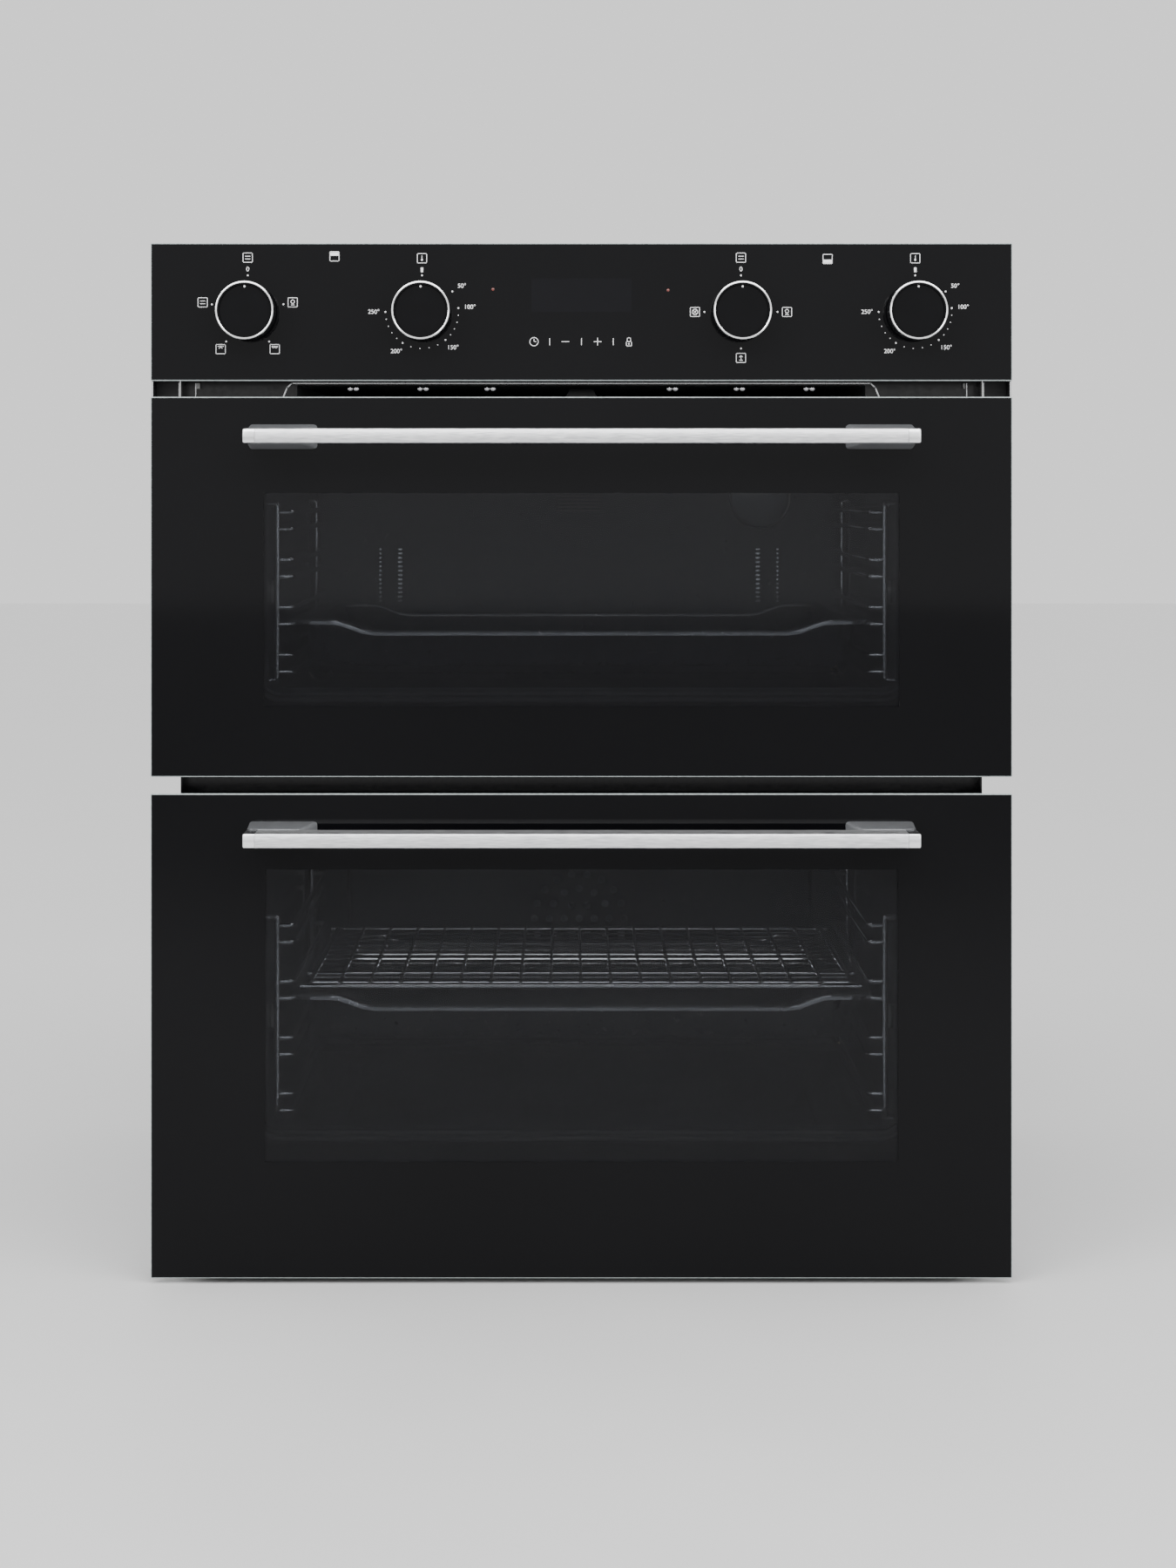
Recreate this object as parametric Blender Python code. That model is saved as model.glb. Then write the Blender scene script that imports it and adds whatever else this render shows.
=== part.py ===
"""Built-under double wall oven: two drop-down glass doors under a control panel with four knobs.

The oven stands on its base plate at z = 0 and faces -Y. The origin is under the middle of its overall box.
Sizes are in metres. Every piece that can be taken off the real oven is one object, and one closed solid.
"""

import math

import bmesh
import bpy
from mathutils import Matrix, Vector

# ---------------------------------------------------------------- driving sizes
FACE_WIDTH = 0.594  # glass faces, edge to edge
PANEL_HEIGHT = 0.095  # control panel glass
PANEL_GAP = 0.011  # between the control panel and the upper door
UPPER_DOOR_HEIGHT = 0.262
DOOR_GAP = 0.0115  # between the two doors
LOWER_DOOR_HEIGHT = 0.334
BASE_CLEARANCE = 0.0035  # lower door's edge above the base plate's underside
CAVITY_DEPTH = 0.400
REAR_SPACE = 0.075  # behind the insulation, for motors and wiring
SIDE_OVERLAP = 0.018  # glass past the chassis, each side
SIDE_SPACE = 0.057  # chassis side to cavity wall
SHEET = 0.001  # folded steel sheet
LINER = 0.001  # enamelled cavity wall
INSULATION = 0.022
GAP = 0.0003  # between pieces that touch
RUNNING = 0.0004  # radial clearance of a shaft in its hole

# ---------------------------------------------------------------- doors
GLASS = 0.004
FRAME_DEPTH = 0.0272  # door frame, behind the outer glass
SEAL_THICKNESS = 0.0036
SEAL_WIDTH = 0.008
SEAL_INSET = 0.003  # mouth edge to seal
FRAME_SIDE_CLEAR = 0.0115  # door frame to the chassis returns
COLUMN_WIDTH = 0.030
FRAME_WALL = 0.0015
FRAME_BOTTOM_CLEAR = 0.003
FRAME_TOP_CLEAR = 0.003
RAIL_HEIGHT = 0.026
INNER_GLASS_LAP = 0.0025  # inner glass over the columns' inner walls
INNER_GLASS_BOTTOM = 0.022
INNER_GLASS_TOP = 0.016
PIVOT_DEPTH = 0.012  # hinge axis behind the glass face
PIVOT_RISE = 0.009  # hinge axis above the glass's lower edge
PIN_RADIUS = 0.003
PIN_END = 0.0013  # pin past the column's walls
ARM_THICKNESS = 0.006
ARM_HALF_HEIGHT = 0.005
ARM_TAIL = 0.026  # arm behind the front frame
HOOK_DROP = 0.005
HOOK_LENGTH = 0.008
ARM_CLEAR = 0.001

# ---------------------------------------------------------------- handles
HANDLE_INSET = 0.068  # handle end to glass edge
HANDLE_BELOW_TOP = 0.0275  # bar's middle below the door's top edge
HANDLE_REACH = 0.045  # bar's front ahead of the glass
BAR_DEPTH = 0.024
BAR_HEIGHT = 0.010
END_CAP = 0.008
POST_WIDTH = 0.047
POST_BASE_HEIGHT = 0.017

# ---------------------------------------------------------------- cavities
UPPER_SILL = 0.059  # mouth's lower edge above the door's lower edge
LOWER_SILL = 0.097
MOUTH_BELOW_TOP = 0.035
MOUTH_RADIUS = 0.010
FLOOR_DROP = 0.018
CEILING_RISE = 0.006
LAMP_RADIUS = 0.022
LAMP_INSET_X = 0.070
LAMP_DROP = 0.042
LAMP_REACH = 0.009
LAMP_EDGE = 0.002
LAMP_LENS = 0.026
LAMP_SOCKET = 0.012  # behind the insulation

# ---------------------------------------------------------------- racks, trays and grid
WIRE_RADIUS = 0.002
RAIL_WIRE_RADIUS = 0.0022
RACK_OFF_WALL = 0.0045  # upright wire's axis to the cavity wall
RUNG_REACH = 0.0115  # rung's axis inwards of the uprights
SLOT_PITCH = 0.012  # the two wires of one shelf slot
RACK_FRONT = 0.030
RACK_BACK = 0.030
UPPER_RACK_FOOT = 0.027  # lowest wire above the cavity floor
LOWER_RACK_FOOT = 0.022
RACK_HEAD = 0.040  # highest wire under the cavity ceiling, at the least
UPPER_LEVEL_PITCH = 0.034
LOWER_LEVEL_PITCH = 0.040
UPPER_TRAY_LEVEL = 1  # counted up from the lowest level, which is 0
LOWER_TRAY_LEVEL = 2
TRAY_FRONT = 0.024  # behind the front frame
TRAY_BACK = 0.0048  # before the fan cover
TRAY_SHEET = 0.0012
TRAY_LIP = 0.011
TRAY_FALL = 0.034  # rim to the underside
TRAY_SLOPE = 0.006
TRAY_EDGE_LAP = 0.0035  # rim past the rung's axis
TRAY_DIP = 0.008  # front and back rims lie lower than the side rims
TRAY_DIP_START = 0.060  # from the tray's side
TRAY_DIP_END = 0.031
TRAY_CORNER = 0.018
GRID_INSET = 0.013  # grid's frame inside the tray's edge
GRID_SHORT = 0.020
GRID_BARS = 19
GRID_FOOT_INSET = 0.0075  # end of the cross bars inside the tray's edge

# ---------------------------------------------------------------- heating and air
GRILL_TUBE = 0.0033
GRILL_DROP = 0.022
GRILL_PASSES = 6
GRILL_INSET = 0.055
GRILL_FRONT = 0.050  # behind the mouth
GRILL_BACK = 0.045
GRILL_CROSS = 0.024  # the front cross run
GRILL_CORNER = 0.012
ELEMENT_TAIL = 0.010  # past the insulation
RING_TUBE = 0.0035
RING_CLEAR = 0.008  # ring element to the fan cover's wall
BAFFLE_DEPTH = 0.048
BAFFLE_SIDE = 0.030
BAFFLE_EDGE = 0.012
BAFFLE_HOLE = 0.004
BAFFLE_PITCH = 0.0155
FAN_CLEAR = 0.0145  # blade tips to the ring element
FAN_BLADES = 8
SHAFT_RADIUS = 0.004
MOTOR_RADIUS = 0.036
MOTOR_LENGTH = 0.046
DUCT_HEIGHT = 0.015
DUCT_INSET = 0.0205  # duct's side inside the cavity's wall line
DUCT_SLOT_LIP = 0.0012
DUCT_OVER_CAVITY = 0.0245
BLOWER_RADIUS = 0.028
BLOWER_SCROLL = 0.034
BLOWER_FROM_REAR = 0.120
BLOWER_BLADES = 14

# ---------------------------------------------------------------- control panel
KNOB_INSET = 0.067  # outer knobs' axes to the glass edges
KNOB_PITCH = 0.1201  # function knob to its thermostat knob
KNOB_RADIUS = 0.0205
KNOB_REACH = 0.023
KNOB_CLEAR = 0.0015
KNOB_RECESS = 0.0025
KNOB_RING = 0.0016
SPINDLE_RADIUS = 0.003
SPINDLE_HOLE = 0.006
CARRIER_DEPTH = 0.022  # glass face to the cabinet's front edge
FLANGE_BELOW_PANEL = 0.040
FLANGE_HOLE = 0.0025
TOP_BELOW_PANEL = 0.012  # chassis top below the panel's top edge
SWITCH_SIZE = 0.042
SWITCH_DEPTH = 0.034
TIMER_WIDTH = 0.118
TIMER_EDGE = 0.0165  # clock module to the panel's top and bottom edges
TIMER_DEPTH = 0.026

# ---------------------------------------------------------------- rear
TERMINAL_WIDTH = 0.090
TERMINAL_HEIGHT = 0.060
TERMINAL_DEPTH = 0.030
TERMINAL_INSET = 0.050
TERMINAL_FOOT = 0.060
VENT_SLOTS = 6
VENT_PITCH = 0.014
VENT_HEIGHT = 0.005
VENT_WIDTH = 0.160

# ---------------------------------------------------------------- heights
LOWER_BOTTOM = BASE_CLEARANCE
LOWER_TOP = LOWER_BOTTOM + LOWER_DOOR_HEIGHT
UPPER_BOTTOM = LOWER_TOP + DOOR_GAP
UPPER_TOP = UPPER_BOTTOM + UPPER_DOOR_HEIGHT
PANEL_BOTTOM = UPPER_TOP + PANEL_GAP
PANEL_TOP = PANEL_BOTTOM + PANEL_HEIGHT
CHASSIS_TOP = PANEL_TOP - TOP_BELOW_PANEL
TIMER_HEIGHT = PANEL_HEIGHT - 2 * TIMER_EDGE

# ---------------------------------------------------------------- widths, as halves
FACE_X = FACE_WIDTH / 2
CHASSIS_X = FACE_X - SIDE_OVERLAP
CAVITY_X = CHASSIS_X - SIDE_SPACE - SHEET
FRAME_X = CHASSIS_X - SHEET - FRAME_SIDE_CLEAR
ARM_X = FRAME_X - COLUMN_WIDTH / 2
RUNG_X = CAVITY_X - RACK_OFF_WALL - RUNG_REACH
TRAY_X = RUNG_X + TRAY_EDGE_LAP
HANDLE_X = FACE_X - HANDLE_INSET
DUCT_X = CAVITY_X - DUCT_INSET

# ---------------------------------------------------------------- depths
MOUTH_PLANE = GLASS + GAP + FRAME_DEPTH + GAP + GLASS + GAP + SEAL_THICKNESS + GAP
CHASSIS_DEPTH = SHEET + GAP + CAVITY_DEPTH + LINER + INSULATION + REAR_SPACE
FACE_Y = HANDLE_REACH - (HANDLE_REACH + MOUTH_PLANE + CHASSIS_DEPTH) / 2
FRAME_Y = FACE_Y + MOUTH_PLANE
REAR_Y = FRAME_Y + CHASSIS_DEPTH
CABINET_Y = FACE_Y + CARRIER_DEPTH
LINER_Y = FRAME_Y + SHEET + GAP
BACK_Y = LINER_Y + CAVITY_DEPTH
PIVOT_Y = FACE_Y + PIVOT_DEPTH
WOOL_BACK_Y = BACK_Y + LINER + INSULATION


class Oven:
    """One of the two ovens: the heights of its door, mouth and cavity."""

    def __init__(self, name, door_bottom, door_top, sill, rack_foot, level_pitch, tray_level):
        self.name = name
        self.door_bottom = door_bottom
        self.door_top = door_top
        self.mouth_bottom = door_bottom + sill
        self.mouth_top = door_top - MOUTH_BELOW_TOP
        self.floor = self.mouth_bottom - FLOOR_DROP
        self.ceiling = self.mouth_top + CEILING_RISE
        self.pivot = Vector((0, PIVOT_Y, door_bottom + PIVOT_RISE))
        self.tray_level = tray_level
        first = self.floor + rack_foot
        span = self.ceiling - RACK_HEAD - SLOT_PITCH - first
        self.levels = [first + i * level_pitch for i in range(int(span / level_pitch) + 1)]

    def tray_rim(self):
        """The underside of the tray's side rims, on the lower wire of the tray's slot."""
        return self.levels[self.tray_level] + WIRE_RADIUS + GAP


UPPER = Oven(
    "upper", UPPER_BOTTOM, UPPER_TOP, UPPER_SILL, UPPER_RACK_FOOT, UPPER_LEVEL_PITCH, UPPER_TRAY_LEVEL
)
LOWER = Oven(
    "lower", LOWER_BOTTOM, LOWER_TOP, LOWER_SILL, LOWER_RACK_FOOT, LOWER_LEVEL_PITCH, LOWER_TRAY_LEVEL
)
FAN_Z = (LOWER.floor + LOWER.ceiling) / 2
DUCT_BOTTOM = UPPER.ceiling + DUCT_OVER_CAVITY
DUCT_TOP = DUCT_BOTTOM + DUCT_HEIGHT
BLOWER_Y = REAR_Y - BLOWER_FROM_REAR
BLOWER_Z = DUCT_BOTTOM + SHEET + BLOWER_SCROLL
KNOB_Z = (PANEL_BOTTOM + PANEL_TOP) / 2
BAFFLE_Y = BACK_Y - BAFFLE_DEPTH
BAFFLE_HALF_HEIGHT = (LOWER.ceiling - LOWER.floor) / 2 - BAFFLE_EDGE
RING_RADIUS = BAFFLE_HALF_HEIGHT - SHEET - RING_CLEAR - RING_TUBE
FAN_RADIUS = RING_RADIUS - RING_TUBE - FAN_CLEAR
TRAY_Y = FRAME_Y + TRAY_FRONT
TRAY_DEPTH = BAFFLE_Y - TRAY_BACK - TRAY_Y


# ---------------------------------------------------------------- helpers
def clear_scene():
    for old in list(bpy.data.objects):
        bpy.data.objects.remove(old)


def material(name, colour, roughness, metallic=0.0):
    found = bpy.data.materials.get(name)
    if found:
        return found
    made = bpy.data.materials.new(name)
    made.use_nodes = True
    shader = made.node_tree.nodes["Principled BSDF"]
    shader.inputs["Base Color"].default_value = (*colour, 1)
    shader.inputs["Roughness"].default_value = roughness
    shader.inputs["Metallic"].default_value = metallic
    return made


def black_glass():
    return material("black_glass", (0.012, 0.012, 0.014), 0.06)


def black_enamel():
    return material("black_enamel", (0.015, 0.015, 0.018), 0.3)


def galvanised():
    return material("galvanised_steel", (0.55, 0.57, 0.58), 0.4, 1.0)


def chrome():
    return material("chromed_wire", (0.8, 0.8, 0.82), 0.12, 1.0)


def brushed():
    return material("brushed_aluminium", (0.75, 0.76, 0.78), 0.3, 1.0)


def black_plastic():
    return material("black_plastic", (0.02, 0.02, 0.022), 0.35)


def hinge_steel():
    return material("zinc_steel", (0.6, 0.6, 0.58), 0.35, 1.0)


def add(name, bm, finish, at=(0, 0, 0), smooth=False, holder=None):
    """Makes an object from a bmesh built round its own origin, and puts that origin at the given place."""
    bmesh.ops.recalc_face_normals(bm, faces=bm.faces[:])
    mesh = bpy.data.meshes.new(name)
    bm.to_mesh(mesh)
    bm.free()
    if finish:
        mesh.materials.append(finish)
    if smooth:
        mesh.shade_smooth()
        mesh.set_sharp_from_angle(angle=math.radians(35))
    made = bpy.data.objects.new(name, mesh)
    bpy.context.scene.collection.objects.link(made)
    made.location = Vector(at) - (holder.location if holder else Vector())
    made.parent = holder
    return made


def pivot(name, at):
    """An empty on a joint's axis, which holds the pieces that move with that joint."""
    made = bpy.data.objects.new(name, None)
    bpy.context.scene.collection.objects.link(made)
    made.location = at
    bpy.context.view_layer.update()
    return made


def box_bmesh(low, high, centre, radius=0.0, axis=1, segments=3):
    """A box between two corners, with the edges along one axis rounded where a radius is given."""
    low, high = Vector(low), Vector(high)
    bm = bmesh.new()
    bmesh.ops.create_cube(bm, size=1)
    bmesh.ops.scale(bm, vec=high - low, verts=bm.verts)
    bmesh.ops.translate(bm, vec=(low + high) / 2 - Vector(centre), verts=bm.verts)
    if radius:
        across = [i for i in range(3) if i != axis]
        edges = [e for e in bm.edges if all(abs((e.verts[0].co - e.verts[1].co)[i]) < 1e-7 for i in across)]
        bmesh.ops.bevel(
            bm, geom=edges, offset=radius, segments=segments, profile=0.5, affect="EDGES", material=-1
        )
    return bm


def block(name, low, high, finish, holder=None, **rounding):
    centre = (Vector(low) + Vector(high)) / 2
    return add(name, box_bmesh(low, high, centre, **rounding), finish, centre, holder=holder)


def hidden(tool):
    tool.hide_render = True
    tool.display_type = "WIRE"
    return tool


def combine(target, tool, operation):
    modifier = target.modifiers.new(operation.lower(), "BOOLEAN")
    modifier.operation = operation
    modifier.object = hidden(tool)
    return target


def cut(target, tool):
    return combine(target, tool, "DIFFERENCE")


def join(target, tool):
    return combine(target, tool, "UNION")


def cut_box(target, low, high, **rounding):
    return cut(target, block(target.name + "_cutter", low, high, None, **rounding))


def join_box(target, low, high, **rounding):
    return join(target, block(target.name + "_addition", low, high, None, **rounding))


def turned_bmesh(profile, direction, segments):
    """Spins (radius, distance along the axis) points, which run from axis to axis, round the direction."""
    direction = Vector(direction)
    across = direction.orthogonal().normalized()
    bm = bmesh.new()
    verts = [bm.verts.new(across * r + direction * d) for r, d in profile]
    edges = [bm.edges.new(pair) for pair in zip(verts, verts[1:])]
    bmesh.ops.spin(
        bm, geom=verts + edges, cent=(0, 0, 0), axis=direction, angle=math.tau, steps=segments, use_merge=True
    )
    bmesh.ops.remove_doubles(bm, verts=bm.verts, dist=1e-6)
    return bm


def turned(name, profile, direction, at, finish, segments=24, holder=None):
    return add(name, turned_bmesh(profile, direction, segments), finish, at, smooth=True, holder=holder)


def rod(name, start, end, radius, finish=None, segments=16, holder=None):
    along = Vector(end) - Vector(start)
    profile = [(0, 0), (radius, 0), (radius, along.length), (0, along.length)]
    return turned(name, profile, along.normalized(), start, finish, segments, holder)


def tube_mesh(points, radius, sides):
    """A closed tube that follows the points, as a mesh. Sides is 4, 6, 8 or more."""
    curve = bpy.data.curves.new("tube", "CURVE")
    curve.dimensions = "3D"
    spline = curve.splines.new("POLY")
    spline.points.add(len(points) - 1)
    for point, place in zip(spline.points, points):
        point.co = (*place, 1)
    curve.bevel_depth = radius
    curve.bevel_resolution = (sides - 4) // 2
    curve.use_fill_caps = True
    holder = bpy.data.objects.new("tube", curve)
    bpy.context.scene.collection.objects.link(holder)
    bpy.context.view_layer.update()
    mesh = bpy.data.meshes.new_from_object(holder.evaluated_get(bpy.context.evaluated_depsgraph_get()))
    bpy.data.objects.remove(holder)
    return mesh


def tube_bmesh(points, radius, sides):
    mesh = tube_mesh(points, radius, sides)
    bm = bmesh.new()
    bm.from_mesh(mesh)
    bpy.data.meshes.remove(mesh)
    bmesh.ops.remove_doubles(bm, verts=bm.verts, dist=1e-6)
    return bm


def tube(name, points, radius, finish, at=(0, 0, 0), sides=6, holder=None):
    local = [Vector(p) - Vector(at) for p in points]
    return add(name, tube_bmesh(local, radius, sides), finish, at, smooth=True, holder=holder)


def extruded_bmesh(loop, centre, half_x):
    """A closed loop of points in a plane across X, drawn out to both sides of that plane."""
    bm = bmesh.new()
    shift = Vector(centre) + Vector((half_x, 0, 0))
    face = bm.faces.new([bm.verts.new(Vector(p) - shift) for p in loop])
    grown = bmesh.ops.extrude_face_region(bm, geom=[face])["geom"]
    moved = [v for v in grown if isinstance(v, bmesh.types.BMVert)]
    bmesh.ops.translate(bm, vec=(2 * half_x, 0, 0), verts=moved)
    return bm


def arc(centre, radius, start, end, steps, across, up):
    """Points on an arc in the plane of the two directions, angles in radians."""
    turns = [start + (end - start) * i / steps for i in range(steps + 1)]
    return [Vector(centre) + radius * (math.cos(t) * Vector(across) + math.sin(t) * Vector(up)) for t in turns]


# ---------------------------------------------------------------- chassis
def make_base_plate():
    block("base_plate", (-CHASSIS_X, FRAME_Y, 0), (CHASSIS_X, REAR_Y, SHEET), galvanised())


def make_side_panel(name, side):
    inner, outer = sorted((side * (CHASSIS_X - SHEET), side * CHASSIS_X))
    low = (inner, FRAME_Y + SHEET + GAP, SHEET + GAP)
    high = (outer, REAR_Y - SHEET - GAP, CHASSIS_TOP - SHEET - GAP)
    block(name, low, high, galvanised())


def make_rear_panel():
    """Back cover, with its terminal opening low on one side and vent slots for the cooling air's intake."""
    low = (-CHASSIS_X, REAR_Y - SHEET, SHEET + GAP)
    panel = block("rear_panel", low, (CHASSIS_X, REAR_Y, CHASSIS_TOP - SHEET - GAP), galvanised())
    left, right, bottom, top = terminal_box()
    cut_box(panel, (left, REAR_Y - 2 * SHEET, bottom), (right, REAR_Y + SHEET, top))
    first = CHASSIS_TOP - 2 * VENT_PITCH
    for i in range(VENT_SLOTS):
        z = first - i * VENT_PITCH
        low = (-VENT_WIDTH / 2, REAR_Y - 2 * SHEET, z - VENT_HEIGHT / 2)
        cut_box(panel, low, (VENT_WIDTH / 2, REAR_Y + SHEET, z + VENT_HEIGHT / 2))


def terminal_box():
    """The rear panel's terminal opening: left, right, bottom, top."""
    left = -CHASSIS_X + TERMINAL_INSET
    return left, left + TERMINAL_WIDTH, TERMINAL_FOOT, TERMINAL_FOOT + TERMINAL_HEIGHT


def make_top_cover():
    low = (-CHASSIS_X, CABINET_Y + SHEET, CHASSIS_TOP - SHEET)
    block("top_cover", low, (CHASSIS_X, REAR_Y, CHASSIS_TOP), galvanised())


def make_front_frame():
    """Enamelled pressing round both mouths, with side returns that come forward beside the doors."""
    top = PANEL_BOTTOM + SHEET
    bottom = SHEET + GAP
    plate = block(
        "front_frame", (-CHASSIS_X, FRAME_Y, bottom), (CHASSIS_X, FRAME_Y + SHEET, top), black_enamel()
    )
    for side in (-1, 1):
        inner, outer = sorted((side * (CHASSIS_X - SHEET), side * CHASSIS_X))
        low = (inner, CABINET_Y, bottom)
        join_box(plate, low, (outer, FRAME_Y + SHEET / 2, CHASSIS_TOP - SHEET - GAP))
    for oven in (UPPER, LOWER):
        low = (-CAVITY_X, FRAME_Y - SHEET, oven.mouth_bottom)
        high = (CAVITY_X, FRAME_Y + 2 * SHEET, oven.mouth_top)
        cut_box(plate, low, high, radius=MOUTH_RADIUS)
        for side in (-1, 1):
            low, high = arm_slot(oven, side)
            cut_box(plate, low, high)
    low = (-DUCT_X + SHEET, FRAME_Y - SHEET, DUCT_BOTTOM + DUCT_SLOT_LIP)
    cut_box(plate, low, (DUCT_X - SHEET, FRAME_Y + 2 * SHEET, DUCT_TOP - DUCT_SLOT_LIP))


def arm_slot(oven, side):
    """The slot in the front frame that a hinge arm hooks through, as two corners."""
    half = ARM_THICKNESS / 2 + GAP
    low = (side * ARM_X - half, FRAME_Y - SHEET, oven.pivot.z - ARM_HALF_HEIGHT - GAP)
    return low, (side * ARM_X + half, FRAME_Y + 2 * SHEET, oven.pivot.z + ARM_HALF_HEIGHT + ARM_CLEAR)


def make_cavity(oven):
    """Enamelled box with an open mouth, and holes in its back wall for lamp and fan shaft."""
    wall = LINER
    low = (-CAVITY_X - wall, LINER_Y, oven.floor - wall)
    liner = block(f"{oven.name}_cavity", low, (CAVITY_X + wall, BACK_Y + wall, oven.ceiling + wall), black_enamel())
    low = (-CAVITY_X, LINER_Y - wall, oven.floor)
    cut_box(liner, low, (CAVITY_X, BACK_Y, oven.ceiling))
    x, z = lamp_place(oven)
    bore(liner, (x, BACK_Y, z), LAMP_RADIUS + GAP)
    if oven is LOWER:
        bore(liner, (0, BACK_Y, FAN_Z), SHAFT_RADIUS + 2 * RUNNING)
    for x, _, z in element_exits(oven):
        bore(liner, (x, BACK_Y, z), RING_TUBE + 2 * GAP)


def bore(target, at, radius, length=0.01, segments=16):
    """A round hole along Y through the target, centred on a point."""
    at = Vector(at)
    reach = Vector((0, length / 2, 0))
    cut(target, rod(target.name + "_bore", at - reach, at + reach, radius, segments=segments))


def lamp_place(oven):
    return CAVITY_X - LAMP_INSET_X, oven.ceiling - LAMP_DROP


def lamp_stem(oven):
    """How far the lens's straight part stands off the back wall: the lower one looks through the fan cover."""
    return BAFFLE_DEPTH if oven is LOWER else LAMP_EDGE


def make_lamp(oven):
    """Screw-in lamp: lens dome in the oven, socket through the back wall and the insulation."""
    x, z = lamp_place(oven)
    neck = LAMP_RADIUS - 2 * GAP
    socket = INSULATION + LINER + LAMP_SOCKET
    stem = lamp_stem(oven)
    profile = [
        (0, stem + LAMP_REACH),
        (LAMP_LENS * 0.6, stem + LAMP_REACH * 0.85),
        (LAMP_LENS * 0.9, stem + LAMP_REACH * 0.5),
        (LAMP_LENS, stem),
        (LAMP_LENS, GAP),
        (neck, GAP),
        (neck, -socket),
        (0, -socket),
    ]
    glass = material("lamp_glass", (0.75, 0.78, 0.8), 0.1)
    turned(f"{oven.name}_lamp", profile, (0, -1, 0), (x, BACK_Y, z), glass, segments=20)


def make_insulation():
    """Glass-wool wrap, one blanket round both cavities."""
    clear = LINER + GAP
    out = CAVITY_X + clear + INSULATION
    low = (-out, LINER_Y + INSULATION / 4, LOWER.floor - clear - INSULATION)
    high = (out, WOOL_BACK_Y, UPPER.ceiling + clear + INSULATION)
    wool = block("insulation_wrap", low, high, material("glass_wool", (0.75, 0.68, 0.45), 0.95))
    for oven in (UPPER, LOWER):
        low = (-CAVITY_X - clear, LINER_Y - INSULATION, oven.floor - clear)
        cut_box(wool, low, (CAVITY_X + clear, BACK_Y + clear, oven.ceiling + clear))
        x, z = lamp_place(oven)
        bore(wool, (x, WOOL_BACK_Y, z), LAMP_RADIUS + GAP, 3 * INSULATION)
        for x, _, z in element_exits(oven):
            bore(wool, (x, WOOL_BACK_Y, z), 2 * RING_TUBE, 3 * INSULATION)
    bore(wool, (0, WOOL_BACK_Y, FAN_Z), MOTOR_RADIUS + 2 * GAP, 3 * INSULATION, 24)


def make_seal(oven):
    """Soft ring round the mouth, which the inner door glass closes against."""
    front = FRAME_Y - GAP - SEAL_THICKNESS
    back = FRAME_Y - GAP
    inner = SEAL_INSET
    outer = SEAL_INSET + SEAL_WIDTH
    low = (-CAVITY_X - outer, front, oven.mouth_bottom - outer)
    high = (CAVITY_X + outer, back, oven.mouth_top + outer)
    rubber = material("seal_rubber", (0.03, 0.03, 0.03), 0.7)
    seal = block(f"{oven.name}_door_seal", low, high, rubber, radius=MOUTH_RADIUS + outer, segments=3)
    low = (-CAVITY_X - inner, front - SHEET, oven.mouth_bottom - inner)
    high = (CAVITY_X + inner, back + SHEET, oven.mouth_top + inner)
    cut_box(seal, low, high, radius=MOUTH_RADIUS + inner, segments=3)


# ---------------------------------------------------------------- racks, trays and grid
def rack_reach(oven):
    """The rack's first and last upright, along Y."""
    back = (BAFFLE_Y if oven is LOWER else BACK_Y) - RACK_BACK
    return LINER_Y + RACK_FRONT, back


def make_rack(oven, side_name, side):
    """Chromed wire ladder: two uprights whose ends hook into the wall, and a pair of rungs for each shelf slot."""
    front, back = rack_reach(oven)
    wall = side * (CAVITY_X - GAP)
    upright = side * (CAVITY_X - RACK_OFF_WALL)
    rung = side * RUNG_X
    foot = oven.levels[0] - SLOT_PITCH / 2
    head = oven.levels[-1] + 1.5 * SLOT_PITCH
    name = f"{oven.name}_rack_{side_name}"
    rack = None
    for y in (front, back):
        ends = [(wall, y, foot), (upright, y, foot), (upright, y, head), (wall, y, head)]
        wire = tube(name if rack is None else name + "_upright", ends, RAIL_WIRE_RADIUS, chrome())
        rack = join(rack, wire) if rack else wire
    for level in oven.levels:
        for z in (level, level + SLOT_PITCH):
            ends = [(upright, front, z), (rung, front, z), (rung, back, z), (upright, back, z)]
            join(rack, tube(name + "_rung", ends, WIRE_RADIUS, None))


def rounded_loop(half_x, half_y, radius, corner_steps=3):
    """Points round a rectangle with rounded corners, with extra points where the tray's rim dips."""
    start = half_x - TRAY_DIP_START
    end = half_x - TRAY_DIP_END
    side_points = [-start, -(start + end) / 2 - 0.004, -end]
    points = []
    for turn, (sx, sy) in enumerate(((1, -1), (1, 1), (-1, 1), (-1, -1))):
        centre = (sx * (half_x - radius), sy * (half_y - radius), 0)
        first = -math.pi / 2 + turn * math.pi / 2
        points += arc(centre, radius, first, first + math.pi / 2, corner_steps, (1, 0, 0), (0, 1, 0))
        if turn in (1, 3):
            xs = sorted([*side_points, *(-x for x in side_points)], reverse=turn == 1)
            points += [Vector((x, sy * half_y, 0)) for x in xs]
    return points


def rim_dip(point, half_x):
    """How far the rim lies below the side rims: a smooth fall between the two dip distances."""
    inwards = half_x - abs(point.x)
    share = (inwards - TRAY_DIP_END) / (TRAY_DIP_START - TRAY_DIP_END)
    share = min(max(share, 0), 1)
    return TRAY_DIP * share * share * (3 - 2 * share)


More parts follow.
